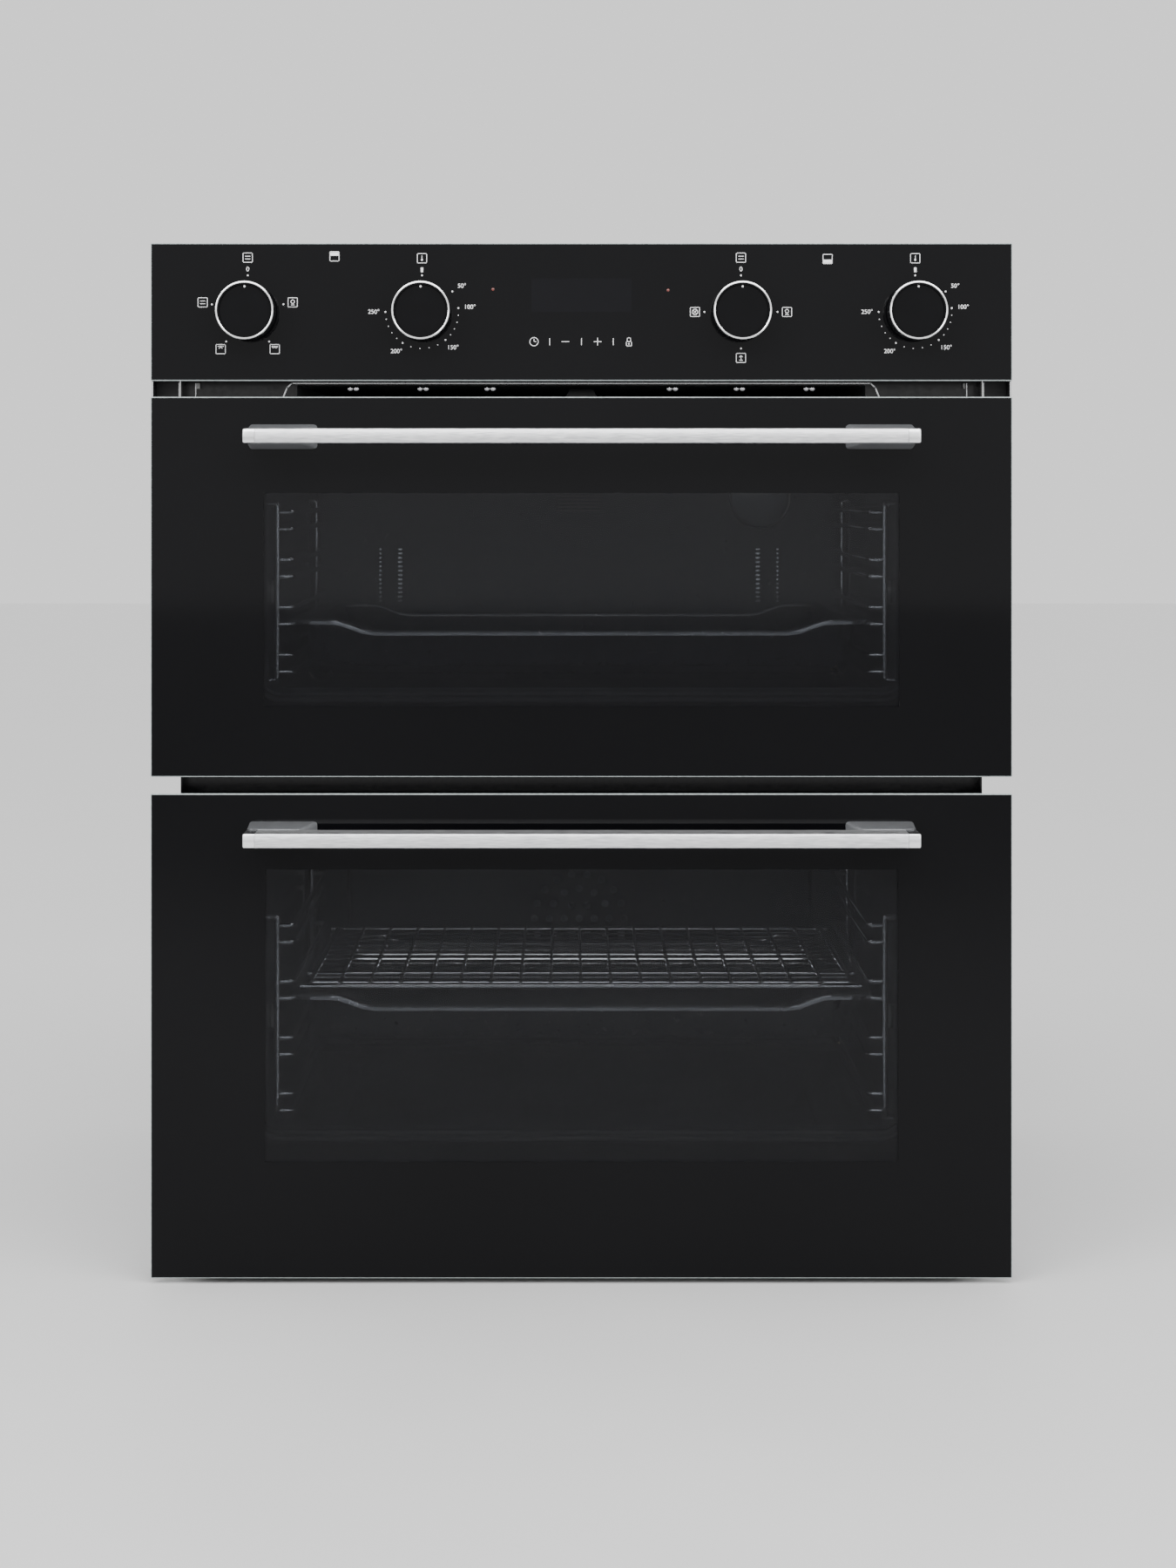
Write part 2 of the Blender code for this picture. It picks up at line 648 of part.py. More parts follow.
def make_tray(oven, holder):
    """Enamelled tray: flat side rims that run in the rack's slot, front and back rims dipped in the middle."""
    half_y = TRAY_DEPTH / 2
    rim = oven.tray_rim()
    at = Vector((0, TRAY_Y + half_y, rim))
    bm = bmesh.new()
    rings = []
    for inset, height in ((0, 0), (TRAY_LIP, 0), (TRAY_LIP + TRAY_SLOPE, TRAY_SHEET - TRAY_FALL)):
        loop = rounded_loop(TRAY_X - inset, half_y - inset, TRAY_CORNER)
        outer = rounded_loop(TRAY_X, half_y, TRAY_CORNER)
        low = height < 0
        ring = [
            bm.verts.new((p.x, p.y, height if low else height - rim_dip(q, TRAY_X))) for p, q in zip(loop, outer)
        ]
        rings.append(ring)
    for first, second in zip(rings, rings[1:]):
        for i in range(len(first)):
            j = (i + 1) % len(first)
            bm.faces.new((first[i], first[j], second[j], second[i]))
    bm.faces.new(rings[-1])
    tray = add(f"{oven.name}_tray", bm, black_enamel(), at, holder=holder)
    thickness = tray.modifiers.new("sheet", "SOLIDIFY")
    thickness.thickness = TRAY_SHEET
    thickness.offset = 1 if tray.data.polygons[-1].normal.z > 0 else -1
    return tray


def make_grid(holder):
    """Chromed wire grid that lies on the lower tray's side rims: a frame, cross bars under it and thin bars along it."""
    rim = LOWER.tray_rim() + TRAY_SHEET
    z = rim + GAP + RAIL_WIRE_RADIUS
    half_x = TRAY_X - GRID_INSET
    front = TRAY_Y + GRID_SHORT
    back = TRAY_Y + TRAY_DEPTH - GRID_SHORT
    foot_x = TRAY_X - GRID_FOOT_INSET
    name = "wire_grid"
    at = Vector((0, front, z))
    grid = tube(name, [(-foot_x, front, z), (foot_x, front, z)], RAIL_WIRE_RADIUS, chrome(), at, holder=holder)
    for y in (back, front + (back - front) * 0.2):
        join(grid, tube(name + "_bar", [(-foot_x, y, z), (foot_x, y, z)], RAIL_WIRE_RADIUS, None))
    lift = WIRE_RADIUS * 0.6
    for i in range(GRID_BARS):
        x = -half_x + 2 * half_x * i / (GRID_BARS - 1)
        edge = i in (0, GRID_BARS - 1)
        radius = RAIL_WIRE_RADIUS if edge else WIRE_RADIUS * 0.75
        height = z + (0 if edge else lift)
        ends = [(x, front - WIRE_RADIUS, height), (x, back + WIRE_RADIUS, height)]
        join(grid, tube(name + "_rail", ends, radius, None))
    return grid


# ---------------------------------------------------------------- heating and air
def element_exits(oven):
    """Where the heating element's two ends pass the cavity's back wall."""
    if oven is UPPER:
        z = UPPER.ceiling - GRILL_DROP
        x = (CAVITY_X - GRILL_INSET) / (GRILL_PASSES - 1)
        return [Vector((sign * x, BACK_Y, z)) for sign in (-1, 1)]
    spread = RING_TUBE * 4
    drop = math.sqrt(RING_RADIUS**2 - spread**2)
    return [Vector((sign * spread, BACK_Y, FAN_Z - drop)) for sign in (-1, 1)]


def make_grill_element():
    """Tube heater that runs to and fro under the upper cavity's ceiling, both ends out through the back."""
    z = UPPER.ceiling - GRILL_DROP
    first = element_exits(UPPER)[1].x
    bend = first
    front = LINER_Y + GRILL_FRONT + bend
    back = BACK_Y - GRILL_BACK - bend
    cross = LINER_Y + GRILL_CROSS
    half = [Vector((first, WOOL_BACK_Y + ELEMENT_TAIL, z))]
    for i in range(GRILL_PASSES // 2 - 1):
        place = first * (2 * i + 1)
        forward = i % 2 == 0
        centre = (place + bend, front if forward else back, z)
        half += arc(centre, bend, math.pi, 0, 5, (1, 0, 0), (0, -1 if forward else 1, 0))
    last = half[-1].x
    corner = (last - GRILL_CORNER, cross + GRILL_CORNER, z)
    half += arc(corner, GRILL_CORNER, 0, math.pi / 2, 3, (1, 0, 0), (0, -1, 0))
    points = half + [Vector((-p.x, p.y, p.z)) for p in reversed(half)]
    finish = material("heater_sheath", (0.18, 0.16, 0.15), 0.45, 0.8)
    tube("grill_element", points, GRILL_TUBE, finish, at=points[0])


def make_fan_element():
    """Ring heater round the oven fan, with both ends out through the back wall."""
    y = BACK_Y - BAFFLE_DEPTH / 2
    ends = element_exits(LOWER)
    opening = math.asin(ends[1].x / RING_RADIUS)
    circle = arc(
        (0, y, FAN_Z), RING_RADIUS, -math.pi / 2 + opening, 1.5 * math.pi - opening, 28, (1, 0, 0), (0, 0, 1)
    )
    tail = WOOL_BACK_Y + ELEMENT_TAIL
    points = [(circle[0].x, tail, circle[0].z), *circle, (circle[-1].x, tail, circle[-1].z)]
    finish = material("heater_sheath", (0.18, 0.16, 0.15), 0.45, 0.8)
    tube("fan_element", points, RING_TUBE, finish, at=(0, y, FAN_Z))


def make_fan_baffle():
    """Enamelled cover over the fan: a pan on the back wall, with an intake of round holes in its middle."""
    half_x = CAVITY_X - BAFFLE_SIDE
    bottom = FAN_Z - BAFFLE_HALF_HEIGHT
    top = FAN_Z + BAFFLE_HALF_HEIGHT
    low = (-half_x, BAFFLE_Y, bottom)
    pan = block("fan_baffle", low, (half_x, BACK_Y - GAP, top), black_enamel())
    low = (-half_x + SHEET, BAFFLE_Y + SHEET, bottom + SHEET)
    cut_box(pan, low, (half_x - SHEET, BACK_Y + SHEET, top - SHEET))
    for side in (-1, 1):
        inner, outer = sorted((side * (half_x - 2 * SHEET), side * (half_x + SHEET)))
        low = (inner, BAFFLE_Y + BAFFLE_DEPTH / 3, bottom + BAFFLE_SIDE)
        cut_box(pan, low, (outer, BACK_Y - BAFFLE_DEPTH / 6, top - BAFFLE_SIDE))
    for ring in range(3):
        for i in range(max(1, 6 * ring)):
            turn = math.tau * i / max(1, 6 * ring)
            offset = ring * BAFFLE_PITCH
            at = (offset * math.cos(turn), BAFFLE_Y, FAN_Z + offset * math.sin(turn))
            bore(pan, at, BAFFLE_HOLE, segments=8)
    x, z = lamp_place(LOWER)
    bore(pan, (x, BAFFLE_Y, z), LAMP_LENS + 2 * GAP, segments=20)


def make_fan_motor():
    """Shaded-pole motor behind the lower cavity, with a blind bore for the fan's shaft."""
    front = BACK_Y + LINER + GAP
    bore_radius = SHAFT_RADIUS + RUNNING
    profile = [
        (0, MOTOR_LENGTH / 2),
        (bore_radius, MOTOR_LENGTH / 2),
        (bore_radius, 0),
        (MOTOR_RADIUS, 0),
        (MOTOR_RADIUS, MOTOR_LENGTH * 0.7),
        (MOTOR_RADIUS * 0.6, MOTOR_LENGTH),
        (0, MOTOR_LENGTH),
    ]
    turned("fan_motor", profile, (0, 1, 0), (0, front, FAN_Z), hinge_steel())


def make_fan_impeller(holder):
    """Hot-air fan: a disc with radial blades on its shaft."""
    disc = FAN_RADIUS * 0.95
    hub = SHAFT_RADIUS * 2.2
    thickness = 0.0012
    blade_width = 0.018
    shaft = BACK_Y + LINER + GAP + MOTOR_LENGTH / 2 - RUNNING
    front = BAFFLE_Y + SHEET + 0.006
    disc_y = BACK_Y - 0.010
    profile = [
        (0, front - disc_y),
        (hub, front - disc_y + 0.002),
        (hub, 0),
        (disc, 0),
        (disc, thickness),
        (SHAFT_RADIUS, thickness),
        (SHAFT_RADIUS, shaft - disc_y),
        (0, shaft - disc_y),
    ]
    at = (0, disc_y, FAN_Z)
    fan = turned("fan_impeller", profile, (0, 1, 0), at, galvanised(), segments=20, holder=holder)
    for i in range(FAN_BLADES):
        low = (hub * 0.8, disc_y - blade_width, FAN_Z - thickness / 2)
        blade = block("fan_blade", low, (FAN_RADIUS, disc_y + thickness / 2, FAN_Z + thickness / 2), None)
        turn_about(blade, at, "Y", math.tau * i / FAN_BLADES)
        join(fan, blade)


def turn_about(piece, at, axis, angle):
    """Turns a piece that has no parent about an axis through a point."""
    spin = Matrix.Translation(at) @ Matrix.Rotation(angle, 4, axis) @ Matrix.Translation(-Vector(at))
    piece.matrix_world = spin @ Matrix.Translation(piece.location)


def make_cooling_duct():
    """Flat duct over the upper cavity, with the blower's scroll at its rear end and a cheek on each side."""
    front = FRAME_Y + SHEET + GAP
    centre = Vector((0, BLOWER_Y, BLOWER_Z))
    loop = [Vector((0, front, DUCT_BOTTOM))]
    loop += arc(centre, BLOWER_SCROLL + SHEET, -math.pi / 2, math.pi * 0.7, 12, (0, 1, 0), (0, 0, 1))
    loop += arc(centre, BLOWER_SCROLL, math.pi * 0.7, -math.pi / 2, 12, (0, 1, 0), (0, 0, 1))
    loop.append(Vector((0, front, DUCT_BOTTOM + SHEET)))
    duct = add("cooling_duct", extruded_bmesh(loop, centre, DUCT_X), galvanised(), centre)
    lid_back = BLOWER_Y - BLOWER_SCROLL * 0.75
    join_box(duct, (-DUCT_X, front, DUCT_TOP - SHEET), (DUCT_X, lid_back, DUCT_TOP))
    for side in (-1, 1):
        inner, outer = sorted((side * (DUCT_X - SHEET), side * DUCT_X))
        join_box(duct, (inner, front, DUCT_BOTTOM + GAP), (outer, BLOWER_Y, DUCT_TOP - GAP))
        cheek = BLOWER_SCROLL + SHEET / 2
        start = (inner, BLOWER_Y, BLOWER_Z)
        join(duct, rod("duct_cheek", start, (outer, BLOWER_Y, BLOWER_Z), cheek, segments=20))
    for side in (-1, 1):
        start = (side * (DUCT_X - 2 * SHEET), BLOWER_Y, BLOWER_Z)
        end = (side * (DUCT_X + SHEET), BLOWER_Y, BLOWER_Z)
        cut(duct, rod("duct_shaft_hole", start, end, SHAFT_RADIUS + RUNNING))


def make_blower_impeller(holder):
    """Cross-flow drum: two end discs, bars between them and a shaft through both."""
    end = DUCT_X - SHEET - 0.004
    disc = 0.0015
    shaft = DUCT_X + 0.010
    profile = [(0, -shaft), (SHAFT_RADIUS, -shaft), (SHAFT_RADIUS, -end)]
    profile += [(BLOWER_RADIUS, -end), (BLOWER_RADIUS, -end + disc), (SHAFT_RADIUS, -end + disc)]
    profile += [(SHAFT_RADIUS, end - disc), (BLOWER_RADIUS, end - disc), (BLOWER_RADIUS, end)]
    profile += [(SHAFT_RADIUS, end), (SHAFT_RADIUS, shaft), (0, shaft)]
    at = (0, BLOWER_Y, BLOWER_Z)
    drum = turned("blower_impeller", profile, (1, 0, 0), at, galvanised(), segments=14, holder=holder)
    for i in range(BLOWER_BLADES):
        low = (-end + disc / 2, BLOWER_Y - disc / 2, BLOWER_Z + BLOWER_RADIUS * 0.72)
        high = (end - disc / 2, BLOWER_Y + disc / 2, BLOWER_Z + BLOWER_RADIUS * 0.93)
        bar = block("blower_bar", low, high, None)
        turn_about(bar, at, "X", math.tau * (i + 0.5) / BLOWER_BLADES)
        join(drum, bar)


def make_blower_motor():
    """Motor on the duct's right-hand cheek, with a bore for the drum's shaft."""
    length = 0.040
    depth = 0.014
    bore_radius = SHAFT_RADIUS + RUNNING
    radius = BLOWER_SCROLL * 0.85
    profile = [(0, depth), (bore_radius, depth), (bore_radius, 0), (radius, 0), (radius, length), (0, length)]
    at = (DUCT_X + GAP, BLOWER_Y, BLOWER_Z)
    turned("blower_motor", profile, (1, 0, 0), at, hinge_steel(), segments=20)


# ---------------------------------------------------------------- control panel
def knob_places():
    """The four knobs: name and place along X."""
    outer = FACE_X - KNOB_INSET
    inner = outer - KNOB_PITCH
    return [
        ("upper_function", -outer),
        ("upper_temperature", -inner),
        ("lower_function", inner),
        ("lower_temperature", outer),
    ]


def make_control_glass():
    low = (-FACE_X, FACE_Y, PANEL_BOTTOM)
    glass = block("control_glass", low, (FACE_X, FACE_Y + GLASS, PANEL_TOP), black_glass())
    for _, x in knob_places():
        bore(glass, (x, FACE_Y, KNOB_Z), SPINDLE_HOLE, 3 * GLASS)


def make_control_carrier():
    """Steel tray behind the glass. Its side walls end in flanges that meet the cabinet, each with a screw hole."""
    front = FACE_Y + GLASS + GAP
    edge = FACE_X - GAP
    low = (-edge, front, PANEL_BOTTOM + GAP)
    carrier = block("control_carrier", low, (edge, front + SHEET, PANEL_TOP - GAP), black_enamel())
    join_box(
        carrier, (-edge, front + SHEET / 2, PANEL_TOP - GAP - SHEET), (edge, CABINET_Y, PANEL_TOP - GAP)
    )
    foot = PANEL_BOTTOM - FLANGE_BELOW_PANEL
    for side in (-1, 1):
        inner, outer = sorted((side * (edge - SHEET), side * edge))
        join_box(carrier, (inner, front + SHEET / 2, foot), (outer, CABINET_Y, PANEL_TOP - 2 * GAP))
        inner, outer = sorted((side * (CHASSIS_X + GAP), side * (edge - SHEET / 2)))
        join_box(carrier, (inner, CABINET_Y - SHEET, foot + GAP), (outer, CABINET_Y, PANEL_TOP - 3 * GAP))
        middle = (inner + outer) / 2
        bore(carrier, (middle, CABINET_Y, foot + FLANGE_BELOW_PANEL * 0.4), FLANGE_HOLE, segments=12)
    for _, x in knob_places():
        bore(carrier, (x, front, KNOB_Z), SPINDLE_HOLE)


def make_timer_module():
    """Clock and touch electronics in a box behind the middle of the panel, with a plug socket on its back."""
    front = FACE_Y + GLASS + SHEET + 2 * GAP
    low = (-TIMER_WIDTH / 2, front, KNOB_Z - TIMER_HEIGHT / 2)
    high = (TIMER_WIDTH / 2, front + TIMER_DEPTH, KNOB_Z + TIMER_HEIGHT / 2)
    timer = block("timer_module", low, high, black_plastic())
    back = front + TIMER_DEPTH
    join_box(timer, (-0.020, back - SHEET, KNOB_Z - 0.008), (0.020, back + 0.008, KNOB_Z + 0.008))


def make_switch(name, x):
    """Rotary switch or thermostat body behind the panel, with a bore for its spindle."""
    front = FACE_Y + GLASS + SHEET + 2 * GAP
    half = SWITCH_SIZE / 2
    body = block(
        f"{name}_switch", (x - half, front, KNOB_Z - half), (x + half, front + SWITCH_DEPTH, KNOB_Z + half),
        material("switch_body", (0.5, 0.5, 0.48), 0.6),
    )
    bore(body, (x, front, KNOB_Z), SPINDLE_RADIUS + RUNNING, SWITCH_DEPTH)


def make_spindle(name, x, holder):
    """Shaft from the switch, through the panel, into the knob."""
    front = FACE_Y + GLASS + SHEET + 2 * GAP
    start = (x, front + SWITCH_DEPTH / 2 - RUNNING, KNOB_Z)
    end = (x, FACE_Y - KNOB_REACH * 0.55 + GAP, KNOB_Z)
    rod(f"{name}_spindle", start, end, SPINDLE_RADIUS, hinge_steel(), 16, holder)


def make_knob(name, x, holder):
    """Turned knob with a polished ring round its recessed face, and a blind bore for the spindle."""
    bore_radius = SPINDLE_RADIUS + GAP
    depth = KNOB_REACH * 0.55
    face = KNOB_REACH - KNOB_RECESS
    edge = KNOB_RING / 2
    profile = [
        (0, depth),
        (bore_radius, depth),
        (bore_radius, KNOB_CLEAR),
        (KNOB_RADIUS - edge, KNOB_CLEAR),
        (KNOB_RADIUS, KNOB_CLEAR + edge),
        (KNOB_RADIUS, KNOB_REACH - edge),
        (KNOB_RADIUS - edge, KNOB_REACH),
        (KNOB_RADIUS - KNOB_RING, KNOB_REACH),
        (KNOB_RADIUS - KNOB_RING, face),
        (0, face),
    ]
    turned(f"{name}_knob", profile, (0, -1, 0), (x, FACE_Y, KNOB_Z), black_plastic(), 20, holder)


# ---------------------------------------------------------------- doors
def make_door_glass(oven, holder):
    low = (-FACE_X, FACE_Y, oven.door_bottom)
    block(f"{oven.name}_door_glass", low, (FACE_X, FACE_Y + GLASS, oven.door_top), black_glass(), holder)


def make_door_frame(oven, holder):
    """Folded steel ring behind the glass, hollow towards it. Its columns hold the hinge pins at their feet."""
    front = FACE_Y + GLASS + GAP
    back = front + FRAME_DEPTH
    bottom = oven.door_bottom + FRAME_BOTTOM_CLEAR
    top = oven.door_top - FRAME_TOP_CLEAR
    wall = FRAME_WALL
    frame = block(f"{oven.name}_door_frame", (-FRAME_X, front, bottom), (FRAME_X, back, top), black_enamel(), holder)
    inner_x = FRAME_X - COLUMN_WIDTH
    cut_box(frame, (-inner_x, front - wall, bottom + RAIL_HEIGHT), (inner_x, back + wall, top - RAIL_HEIGHT))
    for side in (-1, 1):
        near, far = sorted((side * (inner_x + wall), side * (FRAME_X - wall)))
        cut_box(frame, (near, front - wall, bottom + wall), (far, back - wall, top - wall))
    for low_z, high_z in (
        (bottom + wall, bottom + RAIL_HEIGHT - wall),
        (top - RAIL_HEIGHT + wall, top - wall),
    ):
        cut_box(frame, (-inner_x + wall, front - wall, low_z), (inner_x - wall, back - wall, high_z))
    half = ARM_THICKNESS / 2 + ARM_CLEAR
    for side in (-1, 1):
        x = side * ARM_X
        low = (x - half, oven.pivot.y - ARM_HALF_HEIGHT - ARM_CLEAR, bottom - wall)
        cut_box(frame, low, (x + half, back + wall, oven.pivot.z + ARM_HALF_HEIGHT + ARM_CLEAR))
        near = (side * (inner_x - wall), *oven.pivot.yz)
        far = (side * (FRAME_X + wall), *oven.pivot.yz)
        cut(frame, rod("pin_hole", near, far, PIN_RADIUS + RUNNING, segments=20))


def make_inner_glass(oven, holder):
    front = FACE_Y + GLASS + GAP + FRAME_DEPTH + GAP
    half = FRAME_X - COLUMN_WIDTH + INNER_GLASS_LAP
    low = (-half, front, oven.door_bottom + INNER_GLASS_BOTTOM)
    high = (half, front + GLASS, oven.door_top - INNER_GLASS_TOP)
    clear = material("inner_glass", (0.2, 0.2, 0.21), 0.05)
    block(f"{oven.name}_door_inner_glass", low, high, clear, holder)


def make_hinge_arm(oven, side_name, side):
    """Steel arm that hooks through the front frame and carries the pin that the door turns on."""
    x = side * ARM_X
    half = ARM_THICKNESS / 2
    centre = Vector((x, oven.pivot.y, oven.pivot.z))
    low = (x - half, centre.y, centre.z - ARM_HALF_HEIGHT)
    tail = FRAME_Y + SHEET + ARM_TAIL
    arm = block(f"{oven.name}_hinge_arm_{side_name}", low, (x + half, tail, centre.z + ARM_HALF_HEIGHT), hinge_steel())
    behind = FRAME_Y + SHEET + GAP
    low = (x - half, behind, centre.z - ARM_HALF_HEIGHT - HOOK_DROP)
    join_box(arm, low, (x + half, behind + HOOK_LENGTH, centre.z))
    offset = Vector((half, 0, 0))
    join(arm, rod("arm_eye", centre - offset, centre + offset, ARM_HALF_HEIGHT, segments=20))
    inner = side * (FRAME_X - COLUMN_WIDTH - PIN_END)
    outer = side * (FRAME_X + PIN_END)
    join(arm, rod("hinge_pin", (inner, *centre.yz), (outer, *centre.yz), PIN_RADIUS, segments=20))


def make_handle(oven, holder):
    """Brushed flat bar between two cast ends, whose posts widen towards the door glass."""
    middle = oven.door_top - HANDLE_BELOW_TOP
    front = FACE_Y - HANDLE_REACH
    back = front + BAR_DEPTH
    half_height = BAR_HEIGHT / 2
    bar_x = HANDLE_X - END_CAP - GAP
    block(
        f"{oven.name}_handle_bar", (-bar_x, front, middle - half_height), (bar_x, back, middle + half_height),
        brushed(), holder,
    )
    for side_name, side in (("left", -1), ("right", 1)):
        make_handle_end(f"{oven.name}_handle_{side_name}_end", side, middle, holder)


def make_handle_end(name, side, middle, holder):
    front = FACE_Y - HANDLE_REACH
    back = front + BAR_DEPTH
    root = FACE_Y - GAP
    half_height = BAR_HEIGHT / 2
    near, far = sorted((side * (HANDLE_X - POST_WIDTH), side * HANDLE_X))
    at = Vector(((near + far) / 2, root, middle))
    bm = box_bmesh((near, back + GAP, middle - half_height), (far, root, middle + half_height), at)
    spread = POST_BASE_HEIGHT / BAR_HEIGHT
    for vert in bm.verts:
        if vert.co.y > -GAP:
            vert.co.z *= spread
    end = add(name, bm, material("polished_alloy", (0.8, 0.8, 0.82), 0.15, 1.0), at, holder=holder)
    cap_near, cap_far = sorted((side * (HANDLE_X - END_CAP), side * HANDLE_X))
    low = (cap_near, front, middle - half_height)
    join_box(end, low, (cap_far, back + 0.004, middle + half_height))


# ---------------------------------------------------------------- rear
def make_terminal_block():
    """Mains terminal block in the rear panel's opening, with a hole for the cable."""
    left, right, bottom, top = terminal_box()
    low = (left + 2 * GAP, REAR_Y - TERMINAL_DEPTH, bottom + 2 * GAP)
    terminal = block("terminal_block", low, (right - 2 * GAP, REAR_Y - GAP, top - 2 * GAP), black_plastic())
    bore(terminal, ((left + right) / 2, REAR_Y, bottom + TERMINAL_HEIGHT / 3), 0.007, 0.024)


def make_oven(oven):
    make_cavity(oven)
    make_lamp(oven)
    make_seal(oven)
    holder = pivot(f"{oven.name}_door_pivot", oven.pivot)
    make_door_glass(oven, holder)
    make_door_frame(oven, holder)
    make_inner_glass(oven, holder)
    make_handle(oven, holder)
    for side_name, side in (("left", -1), ("right", 1)):
        make_rack(oven, side_name, side)
        make_hinge_arm(oven, side_name, side)
    make_tray(oven, pivot(f"{oven.name}_tray_slide", (0, TRAY_Y, oven.tray_rim())))


def main():
    clear_scene()
    make_base_plate()
    make_side_panel("left_side_panel", -1)
    make_side_panel("right_side_panel", 1)
    make_rear_panel()
    make_top_cover()
    make_front_frame()
    make_insulation()
    for oven in (UPPER, LOWER):
        make_oven(oven)
    make_grid(pivot("grid_lift", (0, TRAY_Y, LOWER.tray_rim())))
    make_grill_element()
    make_fan_element()
    make_fan_baffle()
    make_fan_motor()
    make_fan_impeller(pivot("fan_axis", (0, BACK_Y, FAN_Z)))
    make_cooling_duct()
    make_blower_impeller(pivot("blower_axis", (0, BLOWER_Y, BLOWER_Z)))
    make_blower_motor()
    make_control_glass()
    make_control_carrier()
    make_timer_module()
    for name, x in knob_places():
        axis = pivot(f"{name}_axis", (x, FACE_Y, KNOB_Z))
        make_switch(name, x)
        make_spindle(name, x, axis)
        make_knob(name, x, axis)
    make_terminal_block()


main()
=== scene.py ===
# %% [markdown]
# # A built-under double oven
# The oven has two drop-down glass doors under a glass control panel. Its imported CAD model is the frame
# for everything here: each new piece is placed from a CAD node's box and rides on a CAD body, so it
# moves with the joints.

import math

import bmesh
import bpy
from mathutils import Matrix, Vector, noise


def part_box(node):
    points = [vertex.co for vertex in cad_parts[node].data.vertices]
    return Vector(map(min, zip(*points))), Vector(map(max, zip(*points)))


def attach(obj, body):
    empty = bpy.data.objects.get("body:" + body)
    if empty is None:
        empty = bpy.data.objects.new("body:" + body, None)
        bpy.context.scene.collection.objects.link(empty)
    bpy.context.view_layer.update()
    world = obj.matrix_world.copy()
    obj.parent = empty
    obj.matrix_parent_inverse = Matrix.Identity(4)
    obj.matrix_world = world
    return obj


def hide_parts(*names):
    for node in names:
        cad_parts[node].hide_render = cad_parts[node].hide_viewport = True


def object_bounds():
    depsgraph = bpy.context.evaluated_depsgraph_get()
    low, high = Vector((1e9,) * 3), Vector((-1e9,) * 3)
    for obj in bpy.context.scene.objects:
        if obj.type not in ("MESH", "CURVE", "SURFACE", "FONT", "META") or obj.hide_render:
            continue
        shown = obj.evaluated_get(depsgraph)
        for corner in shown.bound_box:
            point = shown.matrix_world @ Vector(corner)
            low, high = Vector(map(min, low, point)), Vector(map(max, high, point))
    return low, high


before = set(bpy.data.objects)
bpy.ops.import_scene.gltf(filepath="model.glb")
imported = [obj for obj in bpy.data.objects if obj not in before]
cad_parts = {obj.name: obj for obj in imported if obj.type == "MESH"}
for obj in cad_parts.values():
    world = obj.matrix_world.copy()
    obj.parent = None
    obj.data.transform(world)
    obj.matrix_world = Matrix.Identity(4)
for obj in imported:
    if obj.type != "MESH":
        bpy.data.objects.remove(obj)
CAD_LOW, CAD_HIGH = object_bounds()
print("overall size:", [round(v, 4) for v in CAD_HIGH - CAD_LOW])

# %% [markdown]
# A few places are read from the CAD once: the plane of the glass faces, and the middle line of each
# knob. The front of the oven looks along -Y. Reading places beats typing numbers, because the picture
# then follows the CAD when the CAD changes.


# %% Places read from the CAD
def corners(node):
    low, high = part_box(node)
    return Vector(low), Vector(high)


def middle(node):
    low, high = corners(node)
    return (low + high) / 2


FACE_Y = corners("control_glass")[0].y
FACE_X = corners("control_glass")[1].x
DIAL_NAMES = ("upper_function", "upper_temperature", "lower_function", "lower_temperature")
DIALS = {name: middle(f"{name}_knob") for name in DIAL_NAMES}
PRINT_Y = FACE_Y - 0.00006
FORWARD, BACKWARD = (0, -1, 0), (0, 1, 0)
OVENS = ("upper", "lower")
SIDES = (("left", -1), ("right", 1))
print("glass face at y =", round(FACE_Y, 4), "dials at x =", [round(v.x, 4) for v in DIALS.values()])

# %% [markdown]
# The room and every finish are small node trees. These helpers make their usual parts: noise in Object
# coordinates, a value brought to a range, a mix of two colours, and a height that lifts the surface.


# %% Helpers for node trees
def link(tree, source, target):
    tree.links.new(source, target)


def grain(tree, scale, stretch=(1, 1, 1), detail=4.0, kind="ShaderNodeTexNoise"):
    """Noise in Object coordinates; returns the value socket."""
    place = tree.nodes.new("ShaderNodeTexCoord")
    turn = tree.nodes.new("ShaderNodeMapping")
    turn.inputs["Scale"].default_value = stretch
    pattern = tree.nodes.new(kind)
    pattern.inputs["Scale"].default_value = scale
    if "Detail" in pattern.inputs:
        pattern.inputs["Detail"].default_value = detail
    link(tree, place.outputs["Object"], turn.inputs["Vector"])
    link(tree, turn.outputs["Vector"], pattern.inputs["Vector"])
    return pattern.outputs[0]


def ranged(tree, socket, low, high, start=0.3, end=0.7):
    """Maps a value between start and end to a range; most noise lies between 0.3 and 0.7."""
    node = tree.nodes.new("ShaderNodeMapRange")
    node.inputs["From Min"].default_value = start
    node.inputs["From Max"].default_value = end
    node.inputs["To Min"].default_value = low
    node.inputs["To Max"].default_value = high
    link(tree, socket, node.inputs["Value"])
    return node.outputs["Result"]


def tinted(tree, socket, first, second):
    """Mixes two colours by a 0 to 1 value."""
    node = tree.nodes.new("ShaderNodeMix")
    node.data_type = "RGBA"
    node.inputs[6].default_value = (*first, 1)
    node.inputs[7].default_value = (*second, 1)
    link(tree, socket, node.inputs[0])
    return node.outputs[2]


def lifted(tree, shader, socket, strength, distance):
    """Feeds a height to the shader's normal through a Bump node."""
    bump = tree.nodes.new("ShaderNodeBump")
    bump.inputs["Strength"].default_value = strength
    bump.inputs["Distance"].default_value = distance
    link(tree, socket, bump.inputs["Height"])
    link(tree, bump.outputs["Normal"], shader.inputs["Normal"])


